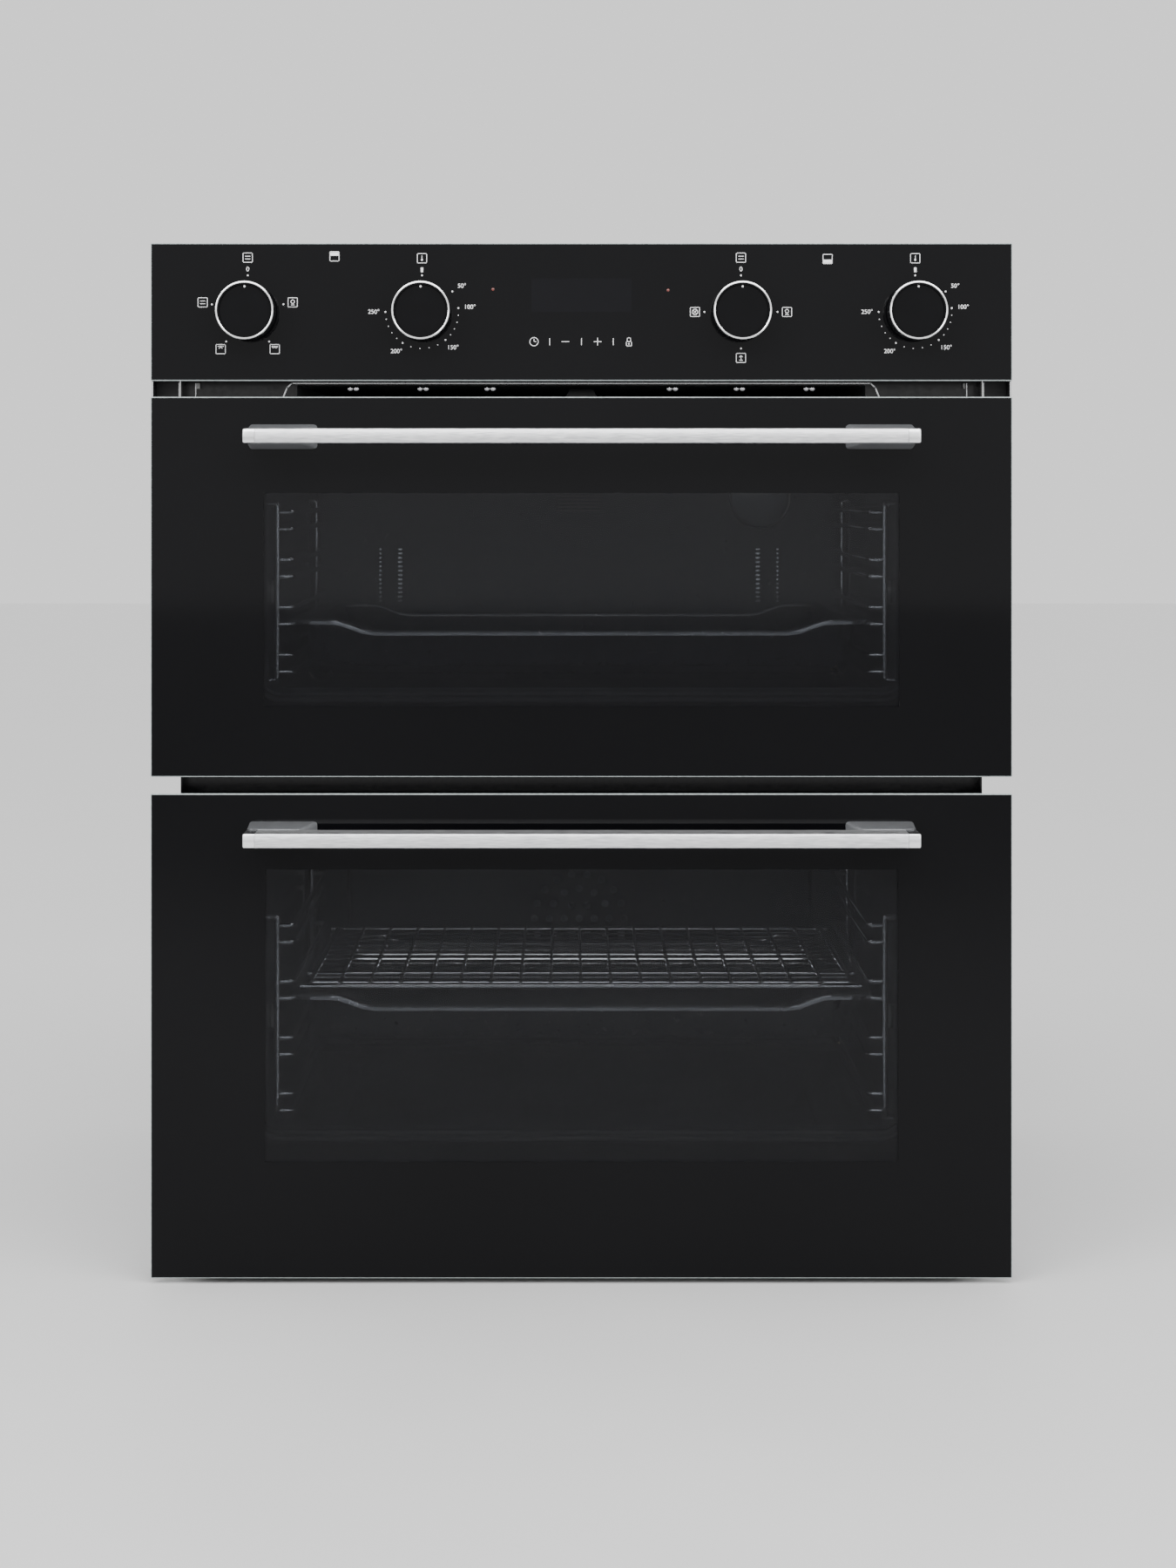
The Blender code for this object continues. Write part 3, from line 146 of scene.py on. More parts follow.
# %% [markdown]
# ## Camera, light and floor
# Product pictures of ovens are taken square on with a long lens, and the lens is shifted so that upright
# edges stay upright. Here the camera stands level in front of the oven, above its middle, and the shift
# brings the oven back into the frame. The lens follows from the distance and the height that the frame
# has to take in.

# %% Camera
CAMERA = Vector((-0.010, FACE_Y - 2.10, 0.549))
FRAME_HEIGHT = 1.0805
FRAME_CENTRE = (0.0045, 0.3442)

camera_data = bpy.data.cameras.new("camera")
camera_data.sensor_width = 36
camera_data.lens = camera_data.sensor_width * (FACE_Y - CAMERA.y) / FRAME_HEIGHT
camera_data.shift_x = (FRAME_CENTRE[0] - CAMERA.x) / FRAME_HEIGHT
camera_data.shift_y = (FRAME_CENTRE[1] - CAMERA.z) / FRAME_HEIGHT
camera = bpy.data.objects.new("camera", camera_data)
camera.location = CAMERA
camera.rotation_euler = (math.radians(90), 0, 0)
bpy.context.scene.collection.objects.link(camera)
bpy.context.scene.camera = camera
print("lens", round(camera_data.lens, 1), "mm")
print("shift", round(camera_data.shift_x, 3), round(camera_data.shift_y, 3))

# %% [markdown]
# Black glass shows little of its own: what is seen is the room that it mirrors. A white world gives the
# even white ground of a studio, a little brighter in front of the oven than behind it. Large soft lamps
# on both sides, above and in front draw pale lines on rounded metal edges, and none of them stands where
# the flat glass would mirror it to the camera. A very weak lamp under each oven's ceiling lifts the dark
# walls behind the windows.


# %% World, lamps and floor
ROOM_FRONT, ROOM_BACK = 1.65, 1.15
world = bpy.data.worlds.new("studio")
world.use_nodes = True
tree = world.node_tree
tree.nodes["Background"].inputs["Color"].default_value = (1, 1, 1, 1)
direction = tree.nodes.new("ShaderNodeTexCoord")
parts = tree.nodes.new("ShaderNodeSeparateXYZ")
link(tree, direction.outputs["Generated"], parts.inputs[0])
strength = ranged(tree, parts.outputs["Y"], ROOM_FRONT, ROOM_BACK, -0.4, 0.4)
link(tree, strength, tree.nodes["Background"].inputs["Strength"])
bpy.context.scene.world = world


def soft_lamp(name, place, aim, size, power):
    lamp = bpy.data.lights.new(name, "AREA")
    lamp.shape = "RECTANGLE"
    lamp.size, lamp.size_y = size
    lamp.energy = power
    made = bpy.data.objects.new(name, lamp)
    made.location = place
    made.rotation_euler = (Vector(aim) - Vector(place)).to_track_quat("-Z", "Y").to_euler()
    bpy.context.scene.collection.objects.link(made)
    return made


soft_lamp("key", (-1.5, -1.9, 1.5), (0, 0, 0.35), (0.9, 1.4), 16)
soft_lamp("fill", (1.7, -1.6, 1.1), (0, 0, 0.35), (0.9, 1.4), 10)
soft_lamp("overhead", (0, -0.7, 2.0), (0, -0.1, 0.4), (1.6, 0.6), 12)
soft_lamp("front strip", (0, FACE_Y - 1.5, 1.45), (0, FACE_Y, 0.5), (2.4, 0.5), 26)
for oven, power in (("upper", 0.12), ("lower", 0.16)):
    low, high = corners(f"{oven}_cavity")
    place = (0, low.y + 0.030, high.z - 0.006)
    glow = soft_lamp(f"{oven} oven light", place, (0, high.y, low.z), (0.36, 0.03), power)
    glow.visible_camera = False

FLOOR_HALF = 12
FLOOR_DROP = 0.0005
floor_mesh = bmesh.new()
bmesh.ops.create_grid(floor_mesh, x_segments=1, y_segments=1, size=FLOOR_HALF)
floor_data = bpy.data.meshes.new("floor")
floor_mesh.to_mesh(floor_data)
floor_mesh.free()
floor = bpy.data.objects.new("floor", floor_data)
floor.location.z = CAD_LOW.z - FLOOR_DROP
bpy.context.scene.collection.objects.link(floor)

# %% [markdown]
# ## Finishes
# Nearly every finish is made the same way. Noise in Object coordinates, stretched by a Mapping node
# where the real surface has a direction, moves the roughness a little, tints the colour a little, and
# lifts the surface a little. Real surfaces are never quite even, and this unevenness is what makes a
# highlight look right. One helper makes the three links, and each finish below chooses its own scale and
# amounts.


# %% Helper for finishes
def finish(name, colours, roughness, scale, metallic=0.0, stretch=(1, 1, 1), *, bump, **sockets):
    """A Principled material whose colour, roughness and height vary with the same stretched noise."""
    made = bpy.data.materials.new(name)
    made.use_nodes = True
    tree = made.node_tree
    shader = tree.nodes["Principled BSDF"]
    value = grain(tree, scale, stretch)
    link(tree, tinted(tree, value, *colours), shader.inputs["Base Color"])
    link(tree, ranged(tree, value, *roughness), shader.inputs["Roughness"])
    if bump:
        lifted(tree, shader, value, *bump)
    shader.inputs["Metallic"].default_value = metallic
    for socket, amount in sockets.items():
        shader.inputs[socket.replace("_", " ")].default_value = amount
    return made


# %% [markdown]
# The floor is a plain pale paint with a very soft mottling, so that it doesn't compete with the oven. It
# is a little paler behind the oven than in front: that hides the line where floor and room meet, while
# the doors still mirror the darker part.


# %% Floor finish
BACK_GAIN, BACK_REACH = 1.16, 1.2


def floor_paint():
    made = finish("pale_floor", ((0.60, 0.60, 0.60), (0.63, 0.63, 0.63)), (0.55, 0.7), 3.0, bump=None)
    tree = made.node_tree
    shader = tree.nodes["Principled BSDF"]
    place = tree.nodes.new("ShaderNodeTexCoord")
    split = tree.nodes.new("ShaderNodeSeparateXYZ")
    paler = tree.nodes.new("ShaderNodeVectorMath")
    paler.operation = "SCALE"
    link(tree, place.outputs["Object"], split.inputs[0])
    gain = ranged(tree, split.outputs["Y"], 1.0, BACK_GAIN, 0.0, BACK_REACH)
    link(tree, shader.inputs["Base Color"].links[0].from_socket, paler.inputs[0])
    link(tree, gain, paler.inputs["Scale"])
    link(tree, paler.outputs[0], shader.inputs["Base Color"])
    return made


floor.data.materials.append(floor_paint())

# %% [markdown]
# ### Glass
# The outer panes are clear toughened glass with black ceramic ink fired on the back, so they look like a
# black mirror. Faint wiping marks change the gloss. A low index keeps the square-on reflection as dark
# as on printed glass. The window is the part of the pane where the print is a fine half-tone: it lets
# more than half of the light through. A Transparent shader mixed in does the same, and it stays
# see-through when the model is exported.


# %% Glass finishes
def see_through(name, tint, share, roughness, index):
    """Glass as a mix: a share of the light passes straight through, and the rest meets a dark gloss."""
    blacks = ((0.002, 0.002, 0.003), (0.003, 0.003, 0.004))
    made = finish(name, blacks, roughness, 9.0, bump=None, IOR=index)
    tree = made.node_tree
    mix = tree.nodes.new("ShaderNodeMixShader")
    mix.inputs[0].default_value = share
    clear = tree.nodes.new("ShaderNodeBsdfTransparent")
    clear.inputs["Color"].default_value = (*tint, 1)
    link(tree, tree.nodes["Principled BSDF"].outputs[0], mix.inputs[1])
    link(tree, clear.outputs[0], mix.inputs[2])
    link(tree, mix.outputs[0], tree.nodes["Material Output"].inputs["Surface"])
    return made


black_glass = finish(
    "black_printed_glass",
    ((0.0018, 0.0018, 0.0022), (0.0028, 0.0028, 0.0034)),
    (0.02, 0.07),
    7.0,
    bump=None,
    IOR=1.215,
)
window_glass = see_through("half_tone_window", (0.94, 0.95, 0.97), 0.60, (0.02, 0.06), 1.38)
clear_glass = see_through("clear_inner_glass", (0.97, 0.98, 0.98), 0.93, (0.02, 0.05), 1.45)
glass_edge = finish(
    "ground_glass_edge", ((0.20, 0.23, 0.23), (0.42, 0.46, 0.46)), (0.15, 0.4), 420.0, bump=(0.2, 0.0001)
)
lamp_glass = finish(
    "pressed_lens", ((0.5, 0.52, 0.54), (0.62, 0.64, 0.66)), (0.08, 0.2), 160.0, bump=(0.4, 0.0006)
)

# %% [markdown]
# ### Metals
# The handles are drawn aluminium, brushed along their length and anodised, so the grain is noise
# stretched fourteenfold along X. The caps of the cast ends are polished, and their posts are satin.
# Chromed wire is nearly a mirror. Zinc coated sheet has crystals, which a Voronoi texture draws as
# patches of slightly different grey.

# %% Metal finishes
brushed = finish(
    "brushed_aluminium",
    ((0.42, 0.43, 0.46), (1.0, 1.0, 1.0)),
    (0.28, 0.52),
    1400.0,
    metallic=1.0,
    stretch=(0.07, 1, 1),
    bump=(0.6, 0.0001),
)
polished = finish(
    "polished_cast_ends",
    ((0.88, 0.89, 0.91), (0.96, 0.96, 0.98)),
    (0.16, 0.28),
    60.0,
    1.0,
    bump=(0.06, 0.0002),
)
satin = finish(
    "satin_cast_posts",
    ((0.34, 0.35, 0.37), (0.47, 0.48, 0.50)),
    (0.38, 0.54),
    900.0,
    1.0,
    bump=(0.08, 0.0001),
)
chrome = finish(
    "chromed_wire", ((0.60, 0.60, 0.62), (0.72, 0.72, 0.74)), (0.06, 0.16), 90.0, 1.0, bump=(0.05, 0.0001)
)
ring_chrome = finish(
    "polished_ring",
    ((0.86, 0.87, 0.88), (0.93, 0.93, 0.94)),
    (0.08, 0.16),
    300.0,
    1.0,
    bump=(0.04, 0.00005),
)
zinc = finish(
    "zinc_passivated_steel",
    ((0.4, 0.4, 0.38), (0.56, 0.55, 0.5)),
    (0.25, 0.45),
    120.0,
    1.0,
    bump=(0.1, 0.0002),
)
bare_steel = finish(
    "bare_steel_edge",
    ((0.55, 0.56, 0.57), (0.68, 0.69, 0.70)),
    (0.2, 0.36),
    500.0,
    1.0,
    bump=(0.08, 0.0001),
)
brass = finish(
    "brass", ((0.52, 0.36, 0.14), (0.66, 0.48, 0.2)), (0.2, 0.36), 200.0, 1.0, bump=(0.06, 0.0001)
)
sheath = finish(
    "heater_sheath",
    ((0.05, 0.045, 0.045), (0.12, 0.09, 0.08)),
    (0.35, 0.6),
    70.0,
    0.6,
    bump=(0.1, 0.0003),
)


def spangled_sheet():
    made = bpy.data.materials.new("spangled_zinc_sheet")
    made.use_nodes = True
    tree = made.node_tree
    shader = tree.nodes["Principled BSDF"]
    cells = grain(tree, 85.0, kind="ShaderNodeTexVoronoi")
    crystals = cells.node.outputs["Color"]
    grey = tree.nodes.new("ShaderNodeRGBToBW")
    link(tree, crystals, grey.inputs["Color"])
    greys = tinted(tree, grey.outputs[0], (0.26, 0.27, 0.28), (0.43, 0.44, 0.45))
    link(tree, greys, shader.inputs["Base Color"])
    link(tree, ranged(tree, grey.outputs[0], 0.24, 0.44), shader.inputs["Roughness"])
    lifted(tree, shader, grain(tree, 900.0), 0.08, 0.0001)
    shader.inputs["Metallic"].default_value = 1.0
    return made


galvanised = spangled_sheet()

# %% [markdown]
# ### Enamel, paint, plastic and soft parts
# Oven walls are vitreous enamel: black glass fused on steel, glossy, with a fine orange-peel ripple and
# a few pale specks. The frame behind the doors is enamelled too, without specks. The doors' own frames
# are black powder paint, which is duller and finer. Knobs are moulded in black plastic. The seal is a
# dull elastomer, and the insulation is fluffy mineral wool.


# %% Dark and soft finishes
def speckled_enamel():
    made = finish(
        "black_enamel",
        ((0.011, 0.011, 0.013), (0.018, 0.018, 0.021)),
        (0.14, 0.26),
        240.0,
        bump=(0.12, 0.0002),
    )
    tree = made.node_tree
    shader = tree.nodes["Principled BSDF"]
    specks = ranged(tree, grain(tree, 1500.0, detail=0.0), 0.0, 1.0, 0.76, 0.80)
    ground = shader.inputs["Base Color"].links[0].from_socket
    both = tree.nodes.new("ShaderNodeMix")
    both.data_type = "RGBA"
    both.inputs[7].default_value = (0.06, 0.06, 0.07, 1)
    link(tree, specks, both.inputs[0])
    link(tree, ground, both.inputs[6])
    link(tree, both.outputs[2], shader.inputs["Base Color"])
    return made


enamel = speckled_enamel()
# Pale metallic enamel: a painted highlight, used on the tray rims and the lower wall louvres.
highlight_enamel = finish(
    "painted_highlight_enamel",
    ((0.38, 0.38, 0.40), (0.66, 0.66, 0.69)),
    (0.14, 0.28),
    260.0,
    0.8,
    bump=(0.1, 0.0001),
)
frame_enamel = finish(
    "frame_enamel",
    ((0.004, 0.004, 0.005), (0.007, 0.007, 0.008)),
    (0.16, 0.26),
    300.0,
    bump=(0.08, 0.0001),
    IOR=1.38,
)
powder = finish(
    "black_powder_paint",
    ((0.006, 0.006, 0.007), (0.010, 0.010, 0.011)),
    (0.36, 0.5),
    1400.0,
    bump=(0.2, 0.0001),
    IOR=1.35,
)
knob_black = finish(
    "knob_plastic",
    ((0.004, 0.004, 0.005), (0.006, 0.006, 0.007)),
    (0.16, 0.26),
    300.0,
    bump=(0.05, 0.00003),
    IOR=1.3,
)
knob_face = finish(
    "knob_face",
    ((0.002, 0.002, 0.0024), (0.003, 0.003, 0.0036)),
    (0.14, 0.2),
    60.0,
    bump=(0.02, 0.00002),
    IOR=1.18,
)
black_plastic = finish(
    "moulded_black_plastic",
    ((0.012, 0.012, 0.013), (0.022, 0.022, 0.023)),
    (0.4, 0.6),
    700.0,
    bump=(0.15, 0.0001),
)
white_nylon = finish(
    "white_nylon", ((0.7, 0.7, 0.69), (0.8, 0.8, 0.79)), (0.4, 0.55), 500.0, bump=(0.08, 0.0001)
)
phenolic = finish(
    "moulded_phenolic", ((0.35, 0.34, 0.31), (0.46, 0.45, 0.41)), (0.5, 0.65), 300.0, bump=(0.1, 0.0001)
)
seal_rubber = finish(
    "seal_elastomer",
    ((0.012, 0.012, 0.012), (0.022, 0.022, 0.022)),
    (0.6, 0.8),
    900.0,
    bump=(0.3, 0.0002),
)
wool = finish(
    "mineral_wool", ((0.42, 0.34, 0.18), (0.68, 0.60, 0.40)), (0.9, 1.0), 380.0, bump=(0.9, 0.002)
)
ink = finish(
    "white_print", ((0.72, 0.72, 0.73), (0.84, 0.84, 0.85)), (0.4, 0.5), 2500.0, bump=(0.05, 0.00002)
)
lens_red = finish(
    "indicator_lens", ((0.10, 0.018, 0.015), (0.16, 0.03, 0.02)), (0.12, 0.2), 900.0, bump=None
)
screen = finish(
    "display_window",
    ((0.002, 0.002, 0.003), (0.003, 0.003, 0.004)),
    (0.02, 0.05),
    50.0,
    bump=None,
    IOR=1.23,
)
print("finishes:", len(bpy.data.materials))

# %% [markdown]
# ## Building blocks
# A few helpers make every solid: a rounded block, a turned shape, and a wire. Each returns a bmesh that
# already lies where it belongs, and `piece` turns it into an object that rides on a body. Several shapes
# can share one bmesh, so that a row of screws is one piece.


# %% Piece helper
def piece(name, bm, materials, body, stands_for=(), sharp=32):
    bmesh.ops.recalc_face_normals(bm, faces=bm.faces[:])
    mesh = bpy.data.meshes.new(name)
    bm.to_mesh(mesh)
    bm.free()
    for material in materials if isinstance(materials, tuple) else (materials,):
        mesh.materials.append(material)
    mesh.shade_smooth()
    mesh.set_sharp_from_angle(angle=math.radians(sharp))
    made = bpy.data.objects.new(name, mesh)
    bpy.context.scene.collection.objects.link(made)
    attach(made, body)
    if stands_for:
        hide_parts(*stands_for)
    print(name, len(mesh.polygons), "faces")
    return made


# %% Rounded block
def round_off(bm, edges, offset, segments):
    """Rounds the given edges; where there is no room for the radius, it is made smaller."""
    bmesh.ops.bevel(
        bm,
        geom=edges,
        offset=offset,
        segments=segments,
        profile=0.5,
        affect="EDGES",
        material=-1,
        clamp_overlap=True,
    )


def block(low, high, edge=0.0, steps=2, into=None):
    """A box between two corners whose edges are rounded."""
    low, high = Vector(low), Vector(high)
    bm = into or bmesh.new()
    made = bmesh.ops.create_cube(bm, size=1)["verts"]
    bmesh.ops.scale(bm, vec=high - low, verts=made)
    bmesh.ops.translate(bm, vec=(low + high) / 2, verts=made)
    if edge:
        round_off(bm, list({e for v in made for e in v.link_edges}), edge, steps)
    return bm


# %% Turned shape
def turned(profile, at, axis, steps, into=None):
    """Spins (radius, distance) points about an axis. They run from axis to axis, or form a closed ring."""
    axis = Vector(axis).normalized()
    across = axis.orthogonal().normalized()
    own = bmesh.new()
    verts = [own.verts.new(Vector(at) + across * r + axis * d) for r, d in profile]
    pairs = list(zip(verts, verts[1:]))
    if min(profile[0][0], profile[-1][0]) > 0:
        pairs.append((verts[-1], verts[0]))
    edges = [own.edges.new(pair) for pair in pairs]
    bmesh.ops.spin(own, geom=verts + edges, cent=at, axis=axis, angle=math.tau, steps=steps, use_merge=True)
    bmesh.ops.remove_doubles(own, verts=own.verts, dist=1e-6)
    bmesh.ops.recalc_face_normals(own, faces=own.faces)
    return own if into is None else merged(into, own)


def merged(target, source):
    """Adds one bmesh to another and frees it."""
    mesh = bpy.data.meshes.new("passing")
    source.to_mesh(mesh)
    source.free()
    target.from_mesh(mesh)
    bpy.data.meshes.remove(mesh)
    return target


# %% [markdown]
# A wire is a circle carried along a path. A curve with a round bevel does that, and it keeps the tube
# even at every bend. The curve is turned into a mesh at once, so nothing is left live.


# %% Wire
def wire(points, radius, sides, bend=0.0, into=None, closed=False):
    """A round wire through the points, its corners rounded to a bend radius."""
    path = rounded_path([Vector(p) for p in points], bend) if bend else [Vector(p) for p in points]
    curve = bpy.data.curves.new("wire", "CURVE")
    curve.dimensions = "3D"
    spline = curve.splines.new("POLY")
    spline.points.add(len(path) - 1)
    for point, place in zip(spline.points, path):
        point.co = (*place, 1)
    spline.use_cyclic_u = closed
    curve.bevel_depth = radius
    curve.bevel_resolution = (sides - 4) // 2
    curve.use_fill_caps = True
    return meshed(curve, into)


def meshed(curve, into, turn=Matrix()):
    """Turns a curve or a text into a closed mesh, moves it, and adds it to a bmesh."""
    holder = bpy.data.objects.new("passing", curve)
    mesh = bpy.data.meshes.new_from_object(holder)
    mesh.transform(turn)
    bpy.data.objects.remove(holder)
    bpy.data.curves.remove(curve)
    own = bmesh.new()
    own.from_mesh(mesh)
    bpy.data.meshes.remove(mesh)
    bmesh.ops.remove_doubles(own, verts=own.verts, dist=1e-6)
    return own if into is None else merged(into, own)


BEND_STEPS = 4


def rounded_path(points, bend):
    """The same path with each inner corner replaced by a short arc."""
    path = [points[0]]
    for before, corner, after in zip(points, points[1:], points[2:]):
        back = (before - corner).normalized()
        ahead = (after - corner).normalized()
        reach = min(bend, (before - corner).length * 0.45, (after - corner).length * 0.45)
        for i in range(BEND_STEPS + 1):
            t = i / BEND_STEPS
            path.append(corner + back * reach * (1 - t) ** 2 + ahead * reach * t**2)
    path.append(points[-1])
    return path


# %% [markdown]
# ## Doors
# Each door is a glass pane whose edges are ground to a small chamfer that catches the light, and a
# printed window in its middle. The pane starts as a cube. Four cuts with bisect_plane draw the window on
# its front and back, the faces inside the cuts take the window finish, and the narrow faces of the bevel
# take the edge finish.

# %% Window sizes
WINDOW_HALF_X = {"upper": 0.2190, "lower": 0.2182}
WINDOW_TOP = {"upper": 0.0663, "lower": 0.0522}
WINDOW_BOTTOM = {"upper": 0.0486, "lower": 0.0804}
EDGE = 0.0007


def window_box(door):
    low, high = corners(f"{door}_door_glass")
    half = WINDOW_HALF_X[door]
    return (-half, half, low.z + WINDOW_BOTTOM[door], high.z - WINDOW_TOP[door])


# %% Pane
def pane(low, high, rects=()):
    """A glass pane with chamfered edges; faces inside a rectangle get slot 2, and the edges slot 1."""
    bm = block(low, high, EDGE, steps=1)
    for left, right, bottom, top in rects:
        for x in (left, right):
            cut_plane(bm, (x, 0, 0), (1, 0, 0))
        for z in (bottom, top):
            cut_plane(bm, (0, 0, z), (0, 0, 1))
    bm.normal_update()
    for face in bm.faces:
        centre = face.calc_center_median()
        if abs(face.normal.y) < 0.9:
            face.material_index = 1
        elif any(left < centre.x < right and bottom < centre.z < top for left, right, bottom, top in rects):
            face.material_index = 2
    return bm


def cut_plane(bm, place, normal):
    geom = bm.verts[:] + bm.edges[:] + bm.faces[:]
    bmesh.ops.bisect_plane(bm, geom=geom, dist=1e-7, plane_co=place, plane_no=normal)


INNER_BORDER = 0.016
for door in OVENS:
    body, node = f"{door}_door", f"{door}_door_glass"
    low, high = corners(node)
    glass = pane(low, high, [window_box(door)])
    finishes = (black_glass, glass_edge, window_glass)
    piece(f"{door}_door_pane", glass, finishes, body, [node])
    node = f"{door}_door_inner_glass"
    low, high = corners(node)
    left, right = low.x + INNER_BORDER, high.x - INNER_BORDER
    inner = pane(low, high, [(left, right, low.z + INNER_BORDER, high.z - INNER_BORDER)])
    finishes = (black_glass, glass_edge, clear_glass)
    piece(f"{door}_door_inner_pane", inner, finishes, body, [node])

# %% [markdown]
# The handle is a flat bar of drawn aluminium between two cast ends. The bar's long edges are softly
# rounded, and the caps of the ends continue its section. Each end reaches back to the glass as a post
# that widens towards its foot. The post is a cube whose rear face is scaled up before the bevel.


# %% Handle bar
BAR_EDGE = 0.0012
BAR_CROWN = 0.0004
CAP_DEPTH = 0.005
CAP_JOINT = 0.0002
POST_EDGE = 0.0024
POST_SLANT = 0.010
NEAR = 1e-6


def bevel_some(bm, offset, wanted):
    """Rounds only the edges whose two ends pass a test."""
    round_off(bm, [e for e in bm.edges if wanted(e.verts[0].co, e.verts[1].co)], offset, 3)


def crowned(low, high, front_y):
    """A block whose front is slightly crowned, so that it mirrors light above and the floor below."""
    bm = block(low, high)
    middle_z = (low[2] + high[2]) / 2
    cut_plane(bm, (0, 0, middle_z), (0, 0, 1))
    for vert in bm.verts:
        if abs(vert.co.y - front_y) < NEAR and abs(vert.co.z - middle_z) > NEAR:
            vert.co.y += BAR_CROWN
    return bm, middle_z


def handle_bar(door):
    low, high = corners(f"{door}_handle_bar")
    bar, z = crowned(low, high, low.y)
    bevel_some(bar, BAR_EDGE, lambda a, b: abs(a.x - b.x) > NEAR and abs(a.z - z) > NEAR)
    piece(f"{door}_bar", bar, brushed, f"{door}_door", [f"{door}_handle_bar"])


# %% Handle ends
def handle_end(door, side_name, side):
    low, high = corners(f"{door}_handle_{side_name}_end")
    bar_low, bar_high = corners(f"{door}_handle_bar")
    cap_inner = (bar_high.x if side > 0 else bar_low.x) + side * CAP_JOINT
    outer = high.x if side > 0 else low.x
    inner = low.x if side > 0 else high.x
    z = (bar_low.z + bar_high.z) / 2
    half = (bar_high.z - bar_low.z) / 2
    left, right = sorted((cap_inner, outer))
    cap_low, cap_high = (left, bar_low.y, z - half), (right, bar_high.y + CAP_DEPTH, z + half)
    cap, crown_z = crowned(cap_low, cap_high, bar_low.y)

    def outside(a, b):
        """True for an edge that lies neither in the joint with the bar nor along the crown."""
        in_joint = max(abs(a.x - cap_inner), abs(b.x - cap_inner)) <= NEAR
        on_crown = max(abs(a.z - crown_z), abs(b.z - crown_z)) <= NEAR
        return not in_joint and not on_crown

    bevel_some(cap, BAR_EDGE, outside)
    post = bmesh.new()
    verts = bmesh.ops.create_cube(post, size=1)["verts"]
    left, right = sorted((inner, outer))
    front = bar_high.y + 0.0003
    bmesh.ops.scale(post, vec=(right - left, high.y - front, 2 * half), verts=verts)
    bmesh.ops.translate(post, vec=((left + right) / 2, (high.y + front) / 2, z), verts=verts)
    for vert in verts:
        if vert.co.y > (high.y + front) / 2:
            vert.co.z = z + (vert.co.z - z) * (high.z - low.z) / (2 * half)
        elif abs(vert.co.x - inner) < NEAR:
            vert.co.x += side * POST_SLANT
    bevel_some(post, POST_EDGE, lambda a, b: min(a.y, b.y) < high.y - 1e-5)
    for face in post.faces:
        face.material_index = 1
    merged(cap, post)
    node = f"{door}_handle_{side_name}_end"
    piece(f"{door}_end_{side_name}", cap, (polished, satin), f"{door}_door", [node])


for door in OVENS:
    handle_bar(door)
    for side_name, side in SIDES:
        handle_end(door, side_name, side)

# %% [markdown]
# ## Control panel
# The panel is the same black printed glass. Behind its middle lies the clock display, which shows only
# as a slightly different black. Here the display's filter is a thin film laid on the front, with its own
# gloss.

# %% Panel glass and display
low, high = corners("control_glass")
panel = pane(low, high)
piece("panel_pane", panel, (black_glass, glass_edge), "oven", ["control_glass"])

DISPLAY = (-0.0345, 0.0345, 0.6695, 0.6925)
display = block((DISPLAY[0], PRINT_Y, DISPLAY[2]), (DISPLAY[1], FACE_Y, DISPLAY[3]))
piece("display_filter", display, screen, "oven")

# %% [markdown]
# A knob is turned on a lathe in spirit: one profile, spun round its axis. The body has a slight draft
# and a rounded rim, and the face lies below the rim. A bright ring sits on the rim, and a small mark
# near the edge of the face tells where the knob points.

# %% Knobs
KNOB_RADIUS = (corners("upper_function_knob")[1] - corners("upper_function_knob")[0]).x / 2
KNOB_FRONT = corners("upper_function_knob")[0].y
KNOB_REAR = corners("upper_function_knob")[1].y
POINTER = 0.0007


def knob(name):
    centre = DIALS[name]
    at = Vector((centre.x, KNOB_REAR, centre.z))
    reach = KNOB_REAR - KNOB_FRONT
    r = KNOB_RADIUS
    body = [
        (0, 0.0003),
        (r - 0.0022, 0.0003),
        (r - 0.0012, 0.0010),
        (r - 0.0009, 0.0022),
        (r - 0.0009, 0.0030),
        (r - 0.0003, 0.0036),
        (r - 0.0004, reach - 0.0030),
        (r - 0.0006, reach - 0.0012),
        (r - 0.0026, reach - 0.0012),
        (r - 0.0030, reach - 0.0026),
        (0, reach - 0.0026),
    ]
    solid = turned(body, at, FORWARD, 96)
    for face in solid.faces:
        face.material_index = 1 if face.calc_center_median().y < KNOB_FRONT + 0.0029 else 0
    dial = f"{name}_dial"
    piece(f"{name}_knob_body", solid, (knob_black, knob_face), dial, [f"{name}_knob"], 25)
    ring = [
        (r - 0.0018, reach - 0.0011),
        (r - 0.0004, reach - 0.0011),
        (r - 0.0002, reach - 0.0006),
        (r - 0.0005, reach - 0.0001),
        (r - 0.0010, reach),
        (r - 0.0015, reach - 0.0002),
    ]
    piece(f"{name}_knob_ring", turned(ring, at, FORWARD, 96), ring_chrome, dial)
    front, rear = reach - 0.0024, reach - 0.0026
    profile = [(0, front), (POINTER, front), (POINTER, rear), (0, rear)]
    mark = turned(profile, at + Vector((0, 0, r - 0.0040)), FORWARD, 20)
    piece(f"{name}_knob_mark", mark, ink, dial)


for name in DIALS:
    knob(name)

# %% [markdown]
# ### Printed marks
# The marks are screen printed in white ink, so they have an outline but almost no height. Strokes are
# very flat blocks, dots are very flat turned discs, and numbers are text turned into a mesh. All of the
# marks are laid on the glass a few hundredths of a millimetre proud.

# %% Strokes and dots
LINE = 0.00042
PRINT = 0.00005


